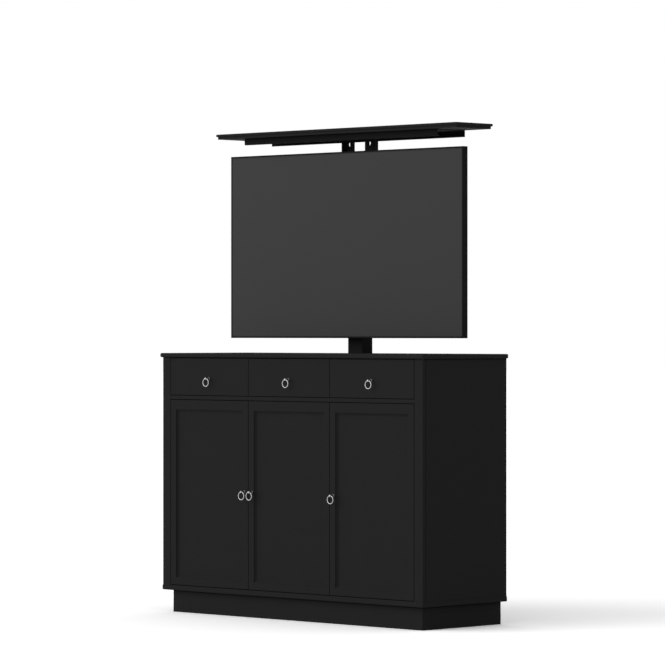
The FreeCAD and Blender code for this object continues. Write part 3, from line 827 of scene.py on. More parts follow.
    @staticmethod
    def gathered(name: str, pieces: "Sequence[Workpiece]") -> "Workpiece":
        """Joins pieces into the first of them.

        Args:
            name: The name of the joined piece.
            pieces: The pieces.

        Returns:
            The first piece, with the others' meshes in it.
        """
        first = pieces[0].join(*pieces[1:])
        first.obj.name = name
        return first

    def copy(self, name: str, by: Sequence[float]) -> "Workpiece":
        """A moved copy with its own mesh.

        Args:
            name: The name of the copy.
            by: How far it is moved.

        Returns:
            The copy.
        """
        lone(self.obj)
        bpy.ops.object.duplicate()
        bpy.context.object.location = Vector(by)
        return Workpiece(name)

    # finishing ------------------------------------------------------------------------------
    def finish(self, finish: Finish, body: str, *nodes: str, smooth: float = 40.0) -> "Workpiece":
        """Smooths, dresses and places the piece.

        Args:
            finish: Its finish.
            body: The body that it moves with.
            nodes: The nodes that it stands for.
            smooth: Edges flatter than this many degrees are shaded smooth.

        Returns:
            The piece.
        """
        lone(self.obj)
        bpy.ops.object.shade_smooth_by_angle(angle=math.radians(smooth))
        self.modify("WEIGHTED_NORMAL", keep_sharp=True)
        self.obj.data.materials.clear()
        self.obj.data.materials.append(finish.material())
        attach(self.obj, body)
        if nodes:
            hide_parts(*nodes)
        log.info("%s rides on %s", self.obj.name, body)
        return self


def near(one: Vector, two: Vector, start: Vector, end: Vector) -> bool:
    """True where an edge runs between two points, either way round."""
    return min(
        (one - start).length + (two - end).length, (one - end).length + (two - start).length
    ) < SAME_PLACE


def touches(number: float, *targets: float) -> bool:
    """True where a coordinate is at one of the targets."""
    return any(abs(number - target) < SAME_PLACE for target in targets)


def facing(axis: Axis, way: int) -> FaceTest:
    """A test for faces that point along an axis, or against it where the way is -1."""
    return lambda centre, normal: normal.dot(axis.value) * way > FACING


def runs(axis: Axis, **places: float) -> EdgeTest:
    """A test for edges that run along an axis.

    Args:
        axis: The axis.
        places: Where they lie along the others, by those axes' small letters.

    Returns:
        The test.
    """

    def test(one: Vector, two: Vector) -> bool:
        """True where the edge runs that way at those places."""
        there = all(touches(getattr(one, name), at) for name, at in places.items())
        return there and (two - one).cross(axis.value).length < SAME_PLACE

    return test


def rim(axis: Axis, place: float) -> EdgeTest:
    """A test for edges that lie wholly at one place along an axis."""
    return lambda one, two: all(touches(end.dot(axis.value), place) for end in (one, two))


# ---------------------------------------------------------------------------------------------
# Fasteners
# ---------------------------------------------------------------------------------------------
@dataclass(frozen=True)
class CapScrew:
    """A cap screw with a hexagon socket."""

    shank: float = 3.0 * MM
    head: float = 5.5 * MM
    height: float = 3.0 * MM
    socket: float = 2.4 * MM
    socket_depth: float = 2.0 * MM
    chamfer: float = 0.5 * MM

    def make(self, name: str, seat: Vector, axis: Axis, way: int, grip: float) -> Workpiece:
        """Turns the screw and sinks its socket.

        Args:
            name: The name of the piece.
            seat: The middle of the face that the head sits on.
            axis: The axis that it lies along.
            way: 1 where the head points along the axis and -1 where it points against it.
            grip: The length of its shank.

        Returns:
            The screw.
        """
        profile = [
            (-grip, self.shank - self.chamfer),
            (-grip + self.chamfer, self.shank),
            (0, self.shank),
            (0, self.head),
            (self.height - self.chamfer, self.head),
            (self.height, self.head - self.chamfer),
        ]
        screw = Workpiece.turned(name, seat, axis, [(way * d, r) for d, r in profile], 32)
        floor = seat + axis.value * way * (self.height - self.socket_depth)
        return screw.drill(floor, axis, self.socket, way * self.height, 6)


@dataclass(frozen=True)
class FlatScrew:
    """A low-headed wood screw with a cross recess; only its head shows."""

    head: float = 3.4 * MM
    height: float = 0.7 * MM
    slot: float = 3.6 * MM
    slot_width: float = 0.8 * MM
    slot_depth: float = 0.5 * MM
    edge: float = 0.2 * MM
    crown: float = 0.72

    def make(self, name: str, seat: Vector, axis: Axis, way: int) -> Workpiece:
        """Turns the head and sinks its cross.

        Args:
            name: The name of the piece.
            seat: The middle of the face that the head lies on.
            axis: The axis that it points along.
            way: 1 where it points along the axis and -1 where it points against it.

        Returns:
            The screw's head.
        """
        profile = [
            (-self.edge, self.head),
            (self.edge, self.head),
            (self.height, self.head * self.crown),
        ]
        screw = Workpiece.turned(name, seat, axis, [(way * d, r) for d, r in profile], 24)
        middle = seat + axis.value * way * self.height
        across = [other.value for other in Axis if other is not axis]
        for long, short in (across, across[::-1]):
            flat = long * self.slot / 2 + short * self.slot_width / 2
            screw.hollow(Extent(middle, middle).grown(flat + axis.value * self.slot_depth))
        return screw


# ---------------------------------------------------------------------------------------------
# Cabinet
# ---------------------------------------------------------------------------------------------
@dataclass(frozen=True)
class Carcass:
    """The boards of the cabinet's box."""

    top_round: float = 5 * MM
    slot_margin: float = 2.9 * MM
    softness: float = 0.5 * MM
    arris: float = 1 * MM
    corner_round: float = 1.5 * MM
    back_arris: float = 0.6 * MM
    back_softness: float = 0.7 * MM
    top_gap: float = 3.2 * MM
    plinth_gap: float = 5.5 * MM
    gap_depth: float = 3.5 * MM
    gap_stop: float = 4 * MM
    joint: tuple[float, float] = (4 * MM, 1.8 * MM)
    board: float = 18 * MM
    outlet: tuple[float, float] = (120 * MM, 60 * MM)
    outlet_round: float = 5 * MM
    outlet_rise: float = 40 * MM
    outlet_end_distance: float = 154 * MM
    fixing_drop: float = 60 * MM
    fixing_half_spacing: float = 450 * MM
    fixing_radius: float = 3 * MM
    pin_radius: float = 2.5 * MM
    pin_collar: float = 3.6 * MM
    pin_collar_width: float = 1.2 * MM
    pin_reach: float = 8 * MM
    pin_play: float = 0.05 * MM

    def build(self) -> None:
        """Shapes the boards that show and the shelf pins, and dresses the others."""
        LACQUER_ALONG_X.dress("bottom_board", "mid_rail")
        INNER_ALONG_X.dress("dust_board", "drawer_runners")
        INNER_ALONG_Z.dress("bay_partition")
        self.build_top()
        self.build_plinth()
        self.build_ends()
        self.build_dividers()
        self.build_shelves()
        self.build_back()
        self.build_pins()

    def gap(
        self, board: Workpiece, around: Extent, height: float, *ways: tuple[int, int]
    ) -> Workpiece:
        """Sinks the top of some of a board's faces, which leaves a shadow line under the next one.

        The line stops short of the cabinet's corners.

        Args:
            board: The board.
            around: The space that the board and its neighbours enclose.
            height: The height of the line.
            ways: The ways that those faces point, along X and Y.

        Returns:
            The board.
        """
        for way in ways:
            low = around.low.copy()
            high = around.high + Axis.Z.value * BEYOND
            low.z = around.high.z - height
            for axis, sign in enumerate(way):
                if sign > 0:
                    low[axis] = around.high[axis] - self.gap_depth
                    high[axis] += BEYOND
                elif sign < 0:
                    high[axis] = around.low[axis] + self.gap_depth
                    low[axis] -= BEYOND
                else:
                    low[axis] += self.gap_stop
                    high[axis] -= self.gap_stop
            board.hollow(Extent(low, high))
        return board

    def outline(self) -> Extent:
        """The space that the stiles and the end panels enclose."""
        return Extent(Extent.of("left_stile").low, Extent.of("right_side_panel").high)

    def pin_rows(self) -> tuple[float, float]:
        """Where the two rows of shelf pins lie along Y."""
        pins = Extent.of("shelf_pins")
        return pins.low.y + self.pin_radius, pins.high.y - self.pin_radius

    def drill_for_pins(self, board: Workpiece, face: float, way: int) -> Workpiece:
        """Drills the holes for the shelf pins.

        Args:
            board: The board.
            face: Where the face that they start from lies along X.
            way: 1 where they run along X and -1 where they run against it.

        Returns:
            The board.
        """
        level = Extent.of("shelf_pins").centre.z
        depth = self.pin_reach + self.pin_play + BEYOND
        for row in self.pin_rows():
            start = (face - way * BEYOND, row, level)
            board.drill(start, Axis.X, self.pin_radius + self.pin_play, way * depth)
        return board

    def build_plinth(self) -> None:
        """The plinth's four boards, with a shadow gap under the bottom board."""
        front, back, sides = (Extent.of(f"plinth_{board}") for board in ("front", "back", "sides"))
        around = Extent(front.low, back.high)
        for end, space, way in (("front", front, -1), ("back", back, 1)):
            board = Workpiece.block(f"kick_{end}", space)
            corner = space.low.y if way < 0 else space.high.y
            board.edges(runs(Axis.Z, y=corner)).round_picked(self.arris, 3)
            self.gap(board, around, self.plinth_gap, (0, way), (-1, 0), (1, 0))
            board.finish(LACQUER_ALONG_X, "cabinet", f"plinth_{end}")
        boards = [
            self.gap(Workpiece.block("kick_sides", space), around, self.plinth_gap, (way, 0))
            for space, way in zip(sides.ends(self.board), (-1, 1))
        ]
        Workpiece.gathered("kick_sides", boards).finish(LACQUER_ALONG_Y, "cabinet", "plinth_sides")

    def build_ends(self) -> None:
        """The end panels and the stiles in front of them."""
        for side, way in (("left", -1), ("right", 1)):
            self.build_end_panel(side, way)
            self.build_stile(side, way)

    def build_end_panel(self, side: str, way: int) -> None:
        """An end panel: a shadow gap under the top, a groove beside the stile and pin holes.

        Args:
            side: The side that it is on.
            way: 1 on the right and -1 on the left.
        """
        space = Extent.of(f"{side}_side_panel")
        outer, inner = space.outer_and_inner(way)
        panel = Workpiece.block(f"{side}_end_panel", space)
        panel.edges(runs(Axis.Z, y=space.high.y)).round_picked(self.back_arris, 3)
        depth, width = self.joint
        groove = space.grown((0, 0, BEYOND)).limited(
            x=(outer - way * depth, outer + way * BEYOND),
            y=(space.low.y - BEYOND, space.low.y + width),
        )
        self.gap(panel.hollow(groove), self.outline(), self.top_gap, (way, 0))
        self.drill_for_pins(panel, inner, way)
        panel.finish(LACQUER_ALONG_Z, "cabinet", f"{side}_side_panel")

    def build_stile(self, side: str, way: int) -> None:
        """A stile, rounded at the corner of the cabinet.

        Args:
            side: The side that it is on.
            way: 1 on the right and -1 on the left.
        """
        space = Extent.of(f"{side}_stile")
        stile = Workpiece.block(f"{side}_frame_board", space)
        for at, radius in zip(space.outer_and_inner(way), (self.corner_round, self.arris)):
            stile.edges(runs(Axis.Z, x=at, y=space.low.y)).round_picked(radius, 4)
        self.gap(stile, self.outline(), self.top_gap, (way, 0), (0, -1))
        stile.finish(LACQUER_ALONG_Z, "cabinet", f"{side}_stile")

    def build_dividers(self) -> None:
        """The upright boards between the drawers and between the door compartments."""
        boards = [
            Workpiece.block("drawer_partitions", space).soften(self.softness)
            for space in Extent.of("drawer_dividers").ends(self.board)
        ]
        pair = Workpiece.gathered("drawer_partitions", boards)
        pair.finish(INNER_ALONG_Z, "cabinet", "drawer_dividers")
        space = Extent.of("door_divider")
        board = Workpiece.block("door_partition", space).soften(self.softness)
        for face, way in space.sides():
            self.drill_for_pins(board, face, way)
        board.finish(INNER_ALONG_Z, "cabinet", "door_divider")

    def build_shelves(self) -> None:
        """The two shelves, with eased edges."""
        both = Extent.of("shelves")
        divider = Extent.of("door_divider")
        clearance = both.low.x - Extent.of("left_side_panel").high.x
        ends = ((both.low.x, divider.low.x - clearance), (divider.high.x + clearance, both.high.x))
        boards = [
            Workpiece.block("shelf_boards", both.limited(x=pair)).soften(self.arris, 3)
            for pair in ends
        ]
        Workpiece.gathered("shelf_boards", boards).finish(INNER_ALONG_X, "cabinet", "shelves")

    def build_back(self) -> None:
        """The back panel with its cable outlet and its two wall fixing holes."""
        space = Extent.of("back_panel")
        through = space.grown((0, BEYOND, 0))
        panel = Workpiece.block("rear_panel", space).soften(self.back_softness)
        right = space.high.x - self.outlet_end_distance
        base = space.low.z + self.outlet_rise
        width, height = self.outlet
        outlet = through.limited(x=(right - width, right), z=(base, base + height))
        panel.cut(Workpiece.rounded("outlet", outlet, Axis.Y, self.outlet_round, 6))
        for way in (-1, 1):
            start = (way * self.fixing_half_spacing, through.low.y, space.high.z - self.fixing_drop)
            panel.drill(start, Axis.Y, self.fixing_radius, through.size.y)
        panel.finish(INNER_ALONG_X, "cabinet", "back_panel")

    def build_top(self) -> None:
        """The top: rounded along its front and ends, with the lift's slot cut through."""
        space = Extent.of("top_board")
        low, high = space.low, space.high

        def on_rim(one: Vector, two: Vector) -> bool:
            """True for the edges of the front and the level edges of the ends."""
            at_end = touches(one.x, low.x, high.x) and touches(two.x, one.x)
            return rim(Axis.Y, low.y)(one, two) or (at_end and touches(one.z, two.z))

        top = Workpiece.block("top_panel", space)
        top.edges(on_rim).round_picked(self.top_round, 6)
        slot = Extent.of("lid_board").grown((-self.slot_margin, -self.slot_margin, 0))
        top.hollow(slot.limited(z=(low.z - BEYOND, high.z + BEYOND))).soften(self.softness)
        top.finish(TOP_LACQUER, "cabinet", "top_board")

    def build_pins(self) -> None:
        """The shelf pins: a collar between the part in the bore and the part under the shelf."""
        level = Extent.of("shelf_pins").centre.z
        divider = Extent.of("door_divider")
        faces = [
            (Extent.of("left_side_panel").high.x, 1),
            (divider.low.x, -1),
            (divider.high.x, 1),
            (Extent.of("right_side_panel").low.x, -1),
        ]
        profile = [
            (-self.pin_reach, self.pin_radius * 0.8),
            (-self.pin_reach * 0.93, self.pin_radius),
            (0, self.pin_radius),
            (0, self.pin_collar),
            (self.pin_collar_width, self.pin_collar),
            (self.pin_collar_width, self.pin_radius),
            (self.pin_reach * 0.93, self.pin_radius),
            (self.pin_reach, self.pin_radius * 0.75),
        ]
        pins = {}
        for way in (1, -1):
            turned = [(way * distance, radius) for distance, radius in profile]
            pins[way] = Workpiece.turned(f"shelf_pin_{way}", Vector(), Axis.X, turned, 24)
        placed = [
            pins[way].copy("shelf_pin", (face, row, level))
            for face, way in faces
            for row in self.pin_rows()
        ]
        for pin in pins.values():
            bpy.data.objects.remove(pin.obj)
        Workpiece.gathered("shelf_pin_set", placed).finish(ZINC, "cabinet", "shelf_pins")


@dataclass(frozen=True)
class RingPull:
    """A ring that hangs from the pierced ball of a turned knob."""

    rosette: float = 6.5 * MM
    reach: float = 15.5 * MM
    ball: float = 4.75 * MM
    eye: float = 3.0 * MM
    ring: float = 13.5 * MM
    wire: float = 1.75 * MM
    wire_sides: int = 20
    ring_steps: int = 80
    ball_degrees: tuple[int, int, int] = (48, 180, 8)

    def profile(self) -> list[tuple[float, float]]:
        """Distances in front of the wood and radii of the turned knob."""
        stem = [
            (0.0, 5.6), (1.2, 5.6), (1.7, 5.4), (2.0, 4.9), (2.1, 4.2), (2.6, 3.9),
            (3.4, 3.5), (4.8, 2.9), (7.0, 2.6), (9.4, 2.7), (10.2, 3.3), (10.7, 3.7), (11.2, 3.7),
        ]
        turned = [(-distance * MM, radius * MM) for distance, radius in stem]
        for degrees in range(*self.ball_degrees):
            angle = math.radians(degrees)
            across, along = self.ball * math.sin(angle), self.ball * math.cos(angle)
            turned.append((-self.reach + along, across))
        return turned

    def build(self, fronts: Iterable[str]) -> None:
        """Makes the first knob and ring, and copies them to the other fronts.

        Args:
            fronts: The bodies that carry a pull.
        """
        knob: Workpiece | None = None
        for front in fronts:
            space = Extent.of(f"{front}_pull")
            eye = Vector((space.centre.x, space.low.y + self.ball, space.centre.z))
            if knob is None:
                first = eye
                knob = self.make_knob(f"{front}_knob", eye)
                ring = self.make_ring(f"{front}_loop", eye)
                pieces = (knob, ring)
            else:
                by = eye - first
                pieces = (knob.copy(f"{front}_knob", by), ring.copy(f"{front}_loop", by))
            pieces[0].finish(NICKEL, front, f"{front}_pull")
            pieces[1].finish(NICKEL, f"{front}_ring", f"{front}_ring")

    def make_knob(self, name: str, eye: Vector) -> Workpiece:
        """Turns the knob and pierces its ball.

        Args:
            name: The name of the piece.
            eye: The middle of the ball.

        Returns:
            The knob.
        """
        wood = eye + Axis.Y.value * self.reach
        knob = Workpiece.turned(name, wood, Axis.Y, self.profile(), 48)
        return knob.drill(eye - Axis.X.value * self.rosette, Axis.X, self.eye, 2 * self.rosette, 40)

    def make_ring(self, name: str, eye: Vector) -> Workpiece:
        """Spins the wire's round section about the middle of the ring.

        Args:
            name: The name of the piece.
            eye: The middle of the ball, where the wire passes.

        Returns:
            The ring.
        """
        ring = Workpiece.start(
            name, bpy.ops.mesh.primitive_circle_add,
            vertices=self.wire_sides, radius=self.wire, location=eye, rotation=Axis.X.turn(),
        )
        ring.edges(lambda one, two: True)
        bpy.ops.mesh.spin(
            steps=self.ring_steps,
            angle=2 * math.pi,
            center=eye - Axis.Z.value * self.ring,
            axis=Axis.Y.value,
        )
        bpy.ops.mesh.select_all(action="SELECT")
        bpy.ops.mesh.remove_doubles(threshold=SAME_PLACE)
        bpy.ops.mesh.normals_make_consistent(inside=False)
        return ring.leave()


@dataclass(frozen=True)
class Drawer:
    """A drawer: a flat front on a box of five boards with grooves for its runners."""

    column: str
    wall: float = 12 * MM
    floor: float = 6 * MM
    runner_level: float = 38 * MM
    runner_height: float = 10 * MM
    runner_clearance: float = 0.6 * MM
    runner_engagement: float = 5 * MM
    top_rebate: tuple[float, float] = (3.5 * MM, 1.2 * MM)
    front_softness: float = 0.7 * MM
    softness: float = 0.4 * MM

    def build(self) -> None:
        """Shapes the front, whose top is sunk to carry the shadow line on, and the box."""
        body = f"{self.column}_drawer"
        space = Extent.of(f"{body}_front")
        around = space.grown((BEYOND, BEYOND, BEYOND))
        depth, height = self.top_rebate
        rebate = around.limited(
            y=(around.low.y, space.low.y + depth), z=(space.high.z - height, around.high.z)
        )
        front = Workpiece.block(f"{body}_panel", space).hollow(rebate)
        front.soften(self.front_softness, 3).finish(LACQUER_ALONG_X, body, f"{body}_front")
        self.build_box(body)

    def build_box(self, body: str) -> None:
        """The box: sides over the full length, ends between them and a thin floor.

        Args:
            body: The body that the drawer is.
        """
        space = Extent.of(f"{body}_box")
        inside = space.grown((-self.wall, -self.wall, 0))
        parts = [
            *space.ends(self.wall),
            inside.limited(y=(space.low.y, inside.low.y)),
            inside.limited(y=(inside.high.y, space.high.y)),
            inside.limited(z=(space.low.z, space.low.z + self.floor)),
        ]
        boards = [Workpiece.block(f"{body}_tray", part) for part in parts]
        level = space.low.z + self.runner_level - self.runner_clearance
        height = self.runner_height + 2 * self.runner_clearance
        depth = self.runner_engagement + self.runner_clearance
        groove = space.grown((0, BEYOND, 0)).limited(z=(level, level + height))
        for board, (edge, _) in zip(boards, space.sides()):
            board.hollow(groove.limited(x=(edge - depth, edge + depth)))
        for board in boards:
            board.soften(self.softness)
        Workpiece.gathered(f"{body}_tray", boards).finish(INNER_ALONG_X, body, f"{body}_box")


@dataclass(frozen=True)
class Door:
    """An inset door with a bevelled sunk panel, hung on two cup hinges."""

    column: str
    hinge_side: int
    fixed_to: str
    stile: float = 27 * MM
    top_rail: float = 34 * MM
    bottom_rail: float = 26 * MM
    bevel: float = 8 * MM
    quirk: float = 2.4 * MM
    arris: float = 0.9 * MM
    cup: float = 12.9 * MM
    cup_depth: float = 9 * MM
    cup_play: float = 0.1 * MM
    cup_wall: float = 1.6 * MM
    cup_floor: float = 1.5 * MM
    flange: float = 15.4 * MM
    flange_height: float = 1.2 * MM
    flange_edge: float = 0.4 * MM
    ear_gap: float = 1 * MM
    ear_reach: float = 25 * MM
    ear_half_width: float = 6 * MM
    ear_height: float = 0.96 * MM
    ear_round: float = 4.8 * MM
    ear_screw: float = 5 * MM
    arm_height: float = 8 * MM
    arm_half_width: float = 7 * MM
    arm_gap: float = 2 * MM
    arm_round: float = 3 * MM
    arm_softness: float = 0.4 * MM
    plate_length: float = 50 * MM
    plate_half_width: float = 19 * MM
    plate_height: float = 4 * MM
    plate_round: float = 5 * MM
    plate_softness: float = 0.5 * MM
    plate_screws: tuple[float, float] = (0.6, 0.62)

    def hinge_places(self) -> list[Vector]:
        """The middles of the cups, on the back face of the door."""
        space = Extent.of(f"{self.column}_door_hinge_cups")
        back = space.high.y - self.flange_height
        levels = (space.low.z + self.flange, space.high.z - self.flange)
        return [Vector((space.centre.x, back, level)) for level in levels]

    def build(self) -> list[Workpiece]:
        """Shapes the leaf and its cups.

        Returns:
            The hinge arms, which stay on the cabinet.
        """
        self.build_leaf()
        self.build_cups()
        return [self.make_arm(place) for place in self.hinge_places()]

    def build_leaf(self) -> None:
        """One slab: its front is inset to unequal margins and sunk with a step and a bevel."""
        body = f"{self.column}_door"
        space = Extent.of(f"{body}_leaf")
        low, high = space.low, space.high
        front = facing(Axis.Y, -1)
        leaf = Workpiece.block(f"{body}_panel", space)
        leaf.faces(front).inset(self.stile)
        leaf.edges(rim(Axis.Z, high.z - self.stile)).move((0, 0, self.stile - self.top_rail))
        leaf.edges(rim(Axis.Z, low.z + self.stile)).move((0, 0, self.bottom_rail - self.stile))
        panel_middle = (low.z + self.bottom_rail + high.z - self.top_rail) / 2
        leaf.faces(
            lambda centre, normal: front(centre, normal)
            and touches(centre.x, space.centre.x)
            and touches(centre.z, panel_middle)
        ).draw_out((0, self.quirk, 0)).inset(self.bevel, self.quirk - self.bevel).leave()
        leaf.soften(self.arris, 3)
        for place in self.hinge_places():
            start = place - Axis.Y.value * self.cup_depth
            leaf.drill(start, Axis.Y, self.cup + self.cup_play, 2 * self.cup_depth, 64)
        leaf.finish(LACQUER_ALONG_Z, body, f"{body}_leaf")

    def build_cups(self) -> None:
        """The hinge cups: a hollow cup under a flange with two screwed ears."""
        body = f"{self.column}_door"
        profile = [
            (-self.cup_depth, self.cup),
            (0, self.cup),
            (0, self.flange),
            (self.flange_height * 0.7, self.flange),
            (self.flange_height, self.flange - self.flange_edge),
            (self.flange_height, self.cup - self.cup_wall),
            (self.flange_height - self.cup_wall / 2, self.cup - self.cup_wall * 1.25),
            (self.cup_floor - self.cup_depth, self.cup - self.cup_wall * 1.5),
        ]
        cups = []
        for place in self.hinge_places():
            cup = Workpiece.turned(f"{body}_cup_pair", place, Axis.Y, profile, 56)
            for way in (-1, 1):
                self.add_ear(cup, place, way)
            cups.append(cup)
        Workpiece.gathered(f"{body}_cup_pair", cups).finish(ZINC, body, f"{body}_hinge_cups")

    def add_ear(self, cup: Workpiece, place: Vector, way: int) -> None:
        """Adds one screwed ear to a cup.

        Args:
            cup: The cup.
            place: Its middle.
            way: 1 for the upper ear and -1 for the lower one.
        """
        height = place.y + self.ear_height
        tip = place.z + way * self.ear_reach
        space = Extent.between(
            (place.x - self.ear_half_width, place.y, place.z + way * (self.cup + self.ear_gap)),
            (place.x + self.ear_half_width, height, tip),
        )
        ear = Workpiece.block("ear", space)
        ear.edges(runs(Axis.Y, z=tip)).round_picked(self.ear_round, 6)
        seat = Vector((place.x, height, tip - way * self.ear_screw))
        cup.weld(ear).join(FlatScrew().make("ear_screw", seat, Axis.Y, 1))

    def make_arm(self, place: Vector) -> Workpiece:
        """An arm from the fixed panel to the cup, and its screwed mounting plate.

        Args:
            place: The middle of the cup.

        Returns:
            The arm with its plate.
        """
        face = self.fixed_face()
        inner = face - self.hinge_side * self.plate_height
        front = place.y + self.arm_gap
        base, wide = self.arm_half_width, self.plate_half_width
        sizes = (
            ("hinge_arm", place.x, self.arm_height, place.z - base, place.z + base),
            ("hinge_plate", inner, self.plate_length, place.z - wide, place.z + wide),
        )
        arm, plate = (
            Workpiece.block(name, Extent.between((face, front, low), (end, front + length, high)))
            for name, end, length, low, high in sizes
        )
        arm.edges(runs(Axis.Y, x=place.x)).round_picked(self.arm_round)
        plate.edges(runs(Axis.X)).round_picked(self.plate_round)
        arm.weld(plate.soften(self.plate_softness)).soften(self.arm_softness)
        along, aside = self.plate_screws
        for way in (-1, 1):
            level = place.z + way * self.plate_half_width * aside
            seat = Vector((inner, front + self.plate_length * along, level))
            arm.join(FlatScrew().make("plate_screw", seat, Axis.X, -self.hinge_side))
        return arm

    def fixed_face(self) -> float:
        """Where the face that the arms are screwed to lies along X."""
        low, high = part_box(self.fixed_to)
        return high.x if self.hinge_side < 0 else low.x


# ---------------------------------------------------------------------------------------------
# Lift
# ---------------------------------------------------------------------------------------------
@dataclass(frozen=True)
class LiftColumn:
    """The telescopic column with its base, motor and control box."""

    wall: float = 2 * MM
    corner: float = 1.6 * MM
    core_corner: float = 0.64 * MM
    softness: float = 0.3 * MM
    stage_growth: float = 3.5 * MM
    flange_height: float = 6 * MM
    flange_corner: float = 8 * MM
    weld: float = 3 * MM
    weld_round: float = 2.85 * MM
    weld_overlap: float = 0.1 * MM
    guide_height: float = 4 * MM
    guide_lip: float = 1 * MM
    guide_gap: float = 0.6 * MM
    guide_softness: float = 0.5 * MM
    screw_margin: float = 20 * MM
    screw_grip: float = 14 * MM
    bore: float = 3.1 * MM
    gearbox_height: float = 24 * MM
    gearbox_depth: float = 41.5 * MM
    gearbox_rim: tuple[float, float] = (2.5 * MM, 1.2 * MM)
    gearbox_softness: float = 1.2 * MM
    motor_radius: float = 21 * MM

    def tube(self, name: str, space: Extent) -> Workpiece:
        """A rectangular tube with rounded corners.

        Args:
            name: The name of the piece.
            space: The space that its outer faces enclose.

        Returns:
            The tube.
        """
        inside = space.grown((-self.wall, -self.wall, BEYOND))
        core = Workpiece.rounded("core", inside, Axis.Z, self.core_corner, 3)
        tube = Workpiece.rounded(name, space, Axis.Z, self.corner)
        return tube.cut(core).soften(self.softness, 1)

    def guide(self, name: str, around: Extent, base: float) -> Workpiece:
        """A plastic guide that caps the mouth of a tube around the next one.

        Args:
            name: The name of the piece.
            around: The space of the tube that slides in it.
            base: Its lower level.

        Returns:
            The guide.
        """
        space = around.limited(z=(base, base + self.guide_height))
        outside = self.stage_growth + self.guide_lip
        outer = space.grown((outside, outside, 0))
        inner = space.grown((self.guide_gap, self.guide_gap, BEYOND))
        guide = Workpiece.rounded(name, outer, Axis.Z, self.corner + self.guide_lip, 5)
        core = Workpiece.rounded("core", inner, Axis.Z, self.corner, 5)
        return guide.cut(core).soften(self.guide_softness)

    def build(self) -> None:
        """Shapes the stages and what stands on the cabinet's floor."""
        middle, inner = Extent.of("lift_middle_column"), Extent.of("lift_inner_column")
        for name, space, body in (
            ("middle", middle, "lift_middle_stage"), ("inner", inner, "lift_carriage"),
        ):
            self.tube(f"{name}_stage", space).finish(LIGHTENED_LIFT_COAT, body, f"lift_{name}_column")
        self.build_base(middle)
        outer_top = Extent.of("lift_outer_column").high.z
        self.guide("outer_guide", middle, outer_top).finish(PLASTIC, "cabinet")
        self.guide("middle_guide", inner, middle.high.z).finish(PLASTIC, "lift_middle_stage")
        ZINC.dress("lift_spindle")
        self.build_motor()
        ControlBox().build()

    def build_base(self, middle: Extent) -> None:
        """The bolted flange with the outer tube welded to it.

        Args:
            middle: The space of the stage that slides in the outer tube.
        """
        space = Extent.of("lift_outer_column")
        low, high = space.low, space.high
        top = low.z + self.flange_height
        plate = space.limited(z=(low.z, top))
        flange = Workpiece.rounded("outer_stage", plate, Axis.Z, self.flange_corner)
        across, along = high.x - self.screw_margin, (high.y - low.y) / 2 - self.screw_margin
        places = [(x, space.centre.y + y) for x in (-across, across) for y in (-along, along)]
        for x, y in places:
            flange.drill((x, y, low.z - BEYOND), Axis.Z, self.bore, 4 * self.flange_height)
        growth, bead_top = self.stage_growth, top + self.weld
        outer = middle.grown((growth, growth, 0)).limited(z=(top - self.weld_overlap, high.z))
        bead_space = outer.grown((self.weld, self.weld, 0)).limited(z=(outer.low.z, bead_top))
        bead = Workpiece.block("bead", bead_space)
        bead.edges(rim(Axis.Z, bead_top)).round_picked(self.weld_round, 3)
        bead.hollow(outer.grown((-self.wall, -self.wall, self.weld)))
        flange.weld(self.tube("outer_tube", outer), bead)
        flange.finish(LIGHTENED_LIFT_COAT, "cabinet", "lift_outer_column")
        screws = [
            CapScrew().make("base_screw", Vector((x, y, top)), Axis.Z, 1, self.screw_grip)
            for x, y in places
        ]
        Workpiece.gathered("base_screw_set", screws).finish(ZINC, "cabinet", "lift_base_screws")

    def build_motor(self) -> None:
        """A gearbox with a rimmed cover, and the motor's can with its end bell."""
        space = Extent.of("lift_motor")
        axis_x = space.high.x - self.motor_radius
        top = space.low.z + self.gearbox_height
        slimmer = (self.gearbox_depth - space.size.y) / 2
        gearbox = space.grown((0, slimmer, 0)).limited(
            x=(space.low.x, axis_x + self.motor_radius / 2), z=(space.low.z, top)
        )
        case = Workpiece.block("motor_unit", gearbox)
        width, depth = self.gearbox_rim
        case.faces(facing(Axis.Z, 1)).inset(width).draw_out((0, 0, -depth)).leave()
        case.soften(self.gearbox_softness)
        # Shares of the height above the gearbox, and radii in millimetres.
        profile = [
            (-0.00525, 20.0), (0.0, 20.0), (1.5, 21.0), (5.5, 21.0), (6.5, 19.6), (60.0, 19.6),
            (61.0, 20.4), (63.0, 20.4), (64.0, 19.6), (84.0, 19.6), (85.0, 21.0), (92.0, 21.0),
            (95.0, 19.0), (95.5, 9.0), (97.0, 8.5), (97.5, 7.0),
        ]
        scale = (space.high.z - top) / profile[-1][0]
        turned = [(distance * scale, radius * MM) for distance, radius in profile]
        foot = Vector((axis_x, space.centre.y, top))
        case.weld(Workpiece.turned("can", foot, Axis.Z, turned, 64))
        case.finish(POWDER_COAT, "cabinet", "lift_motor")


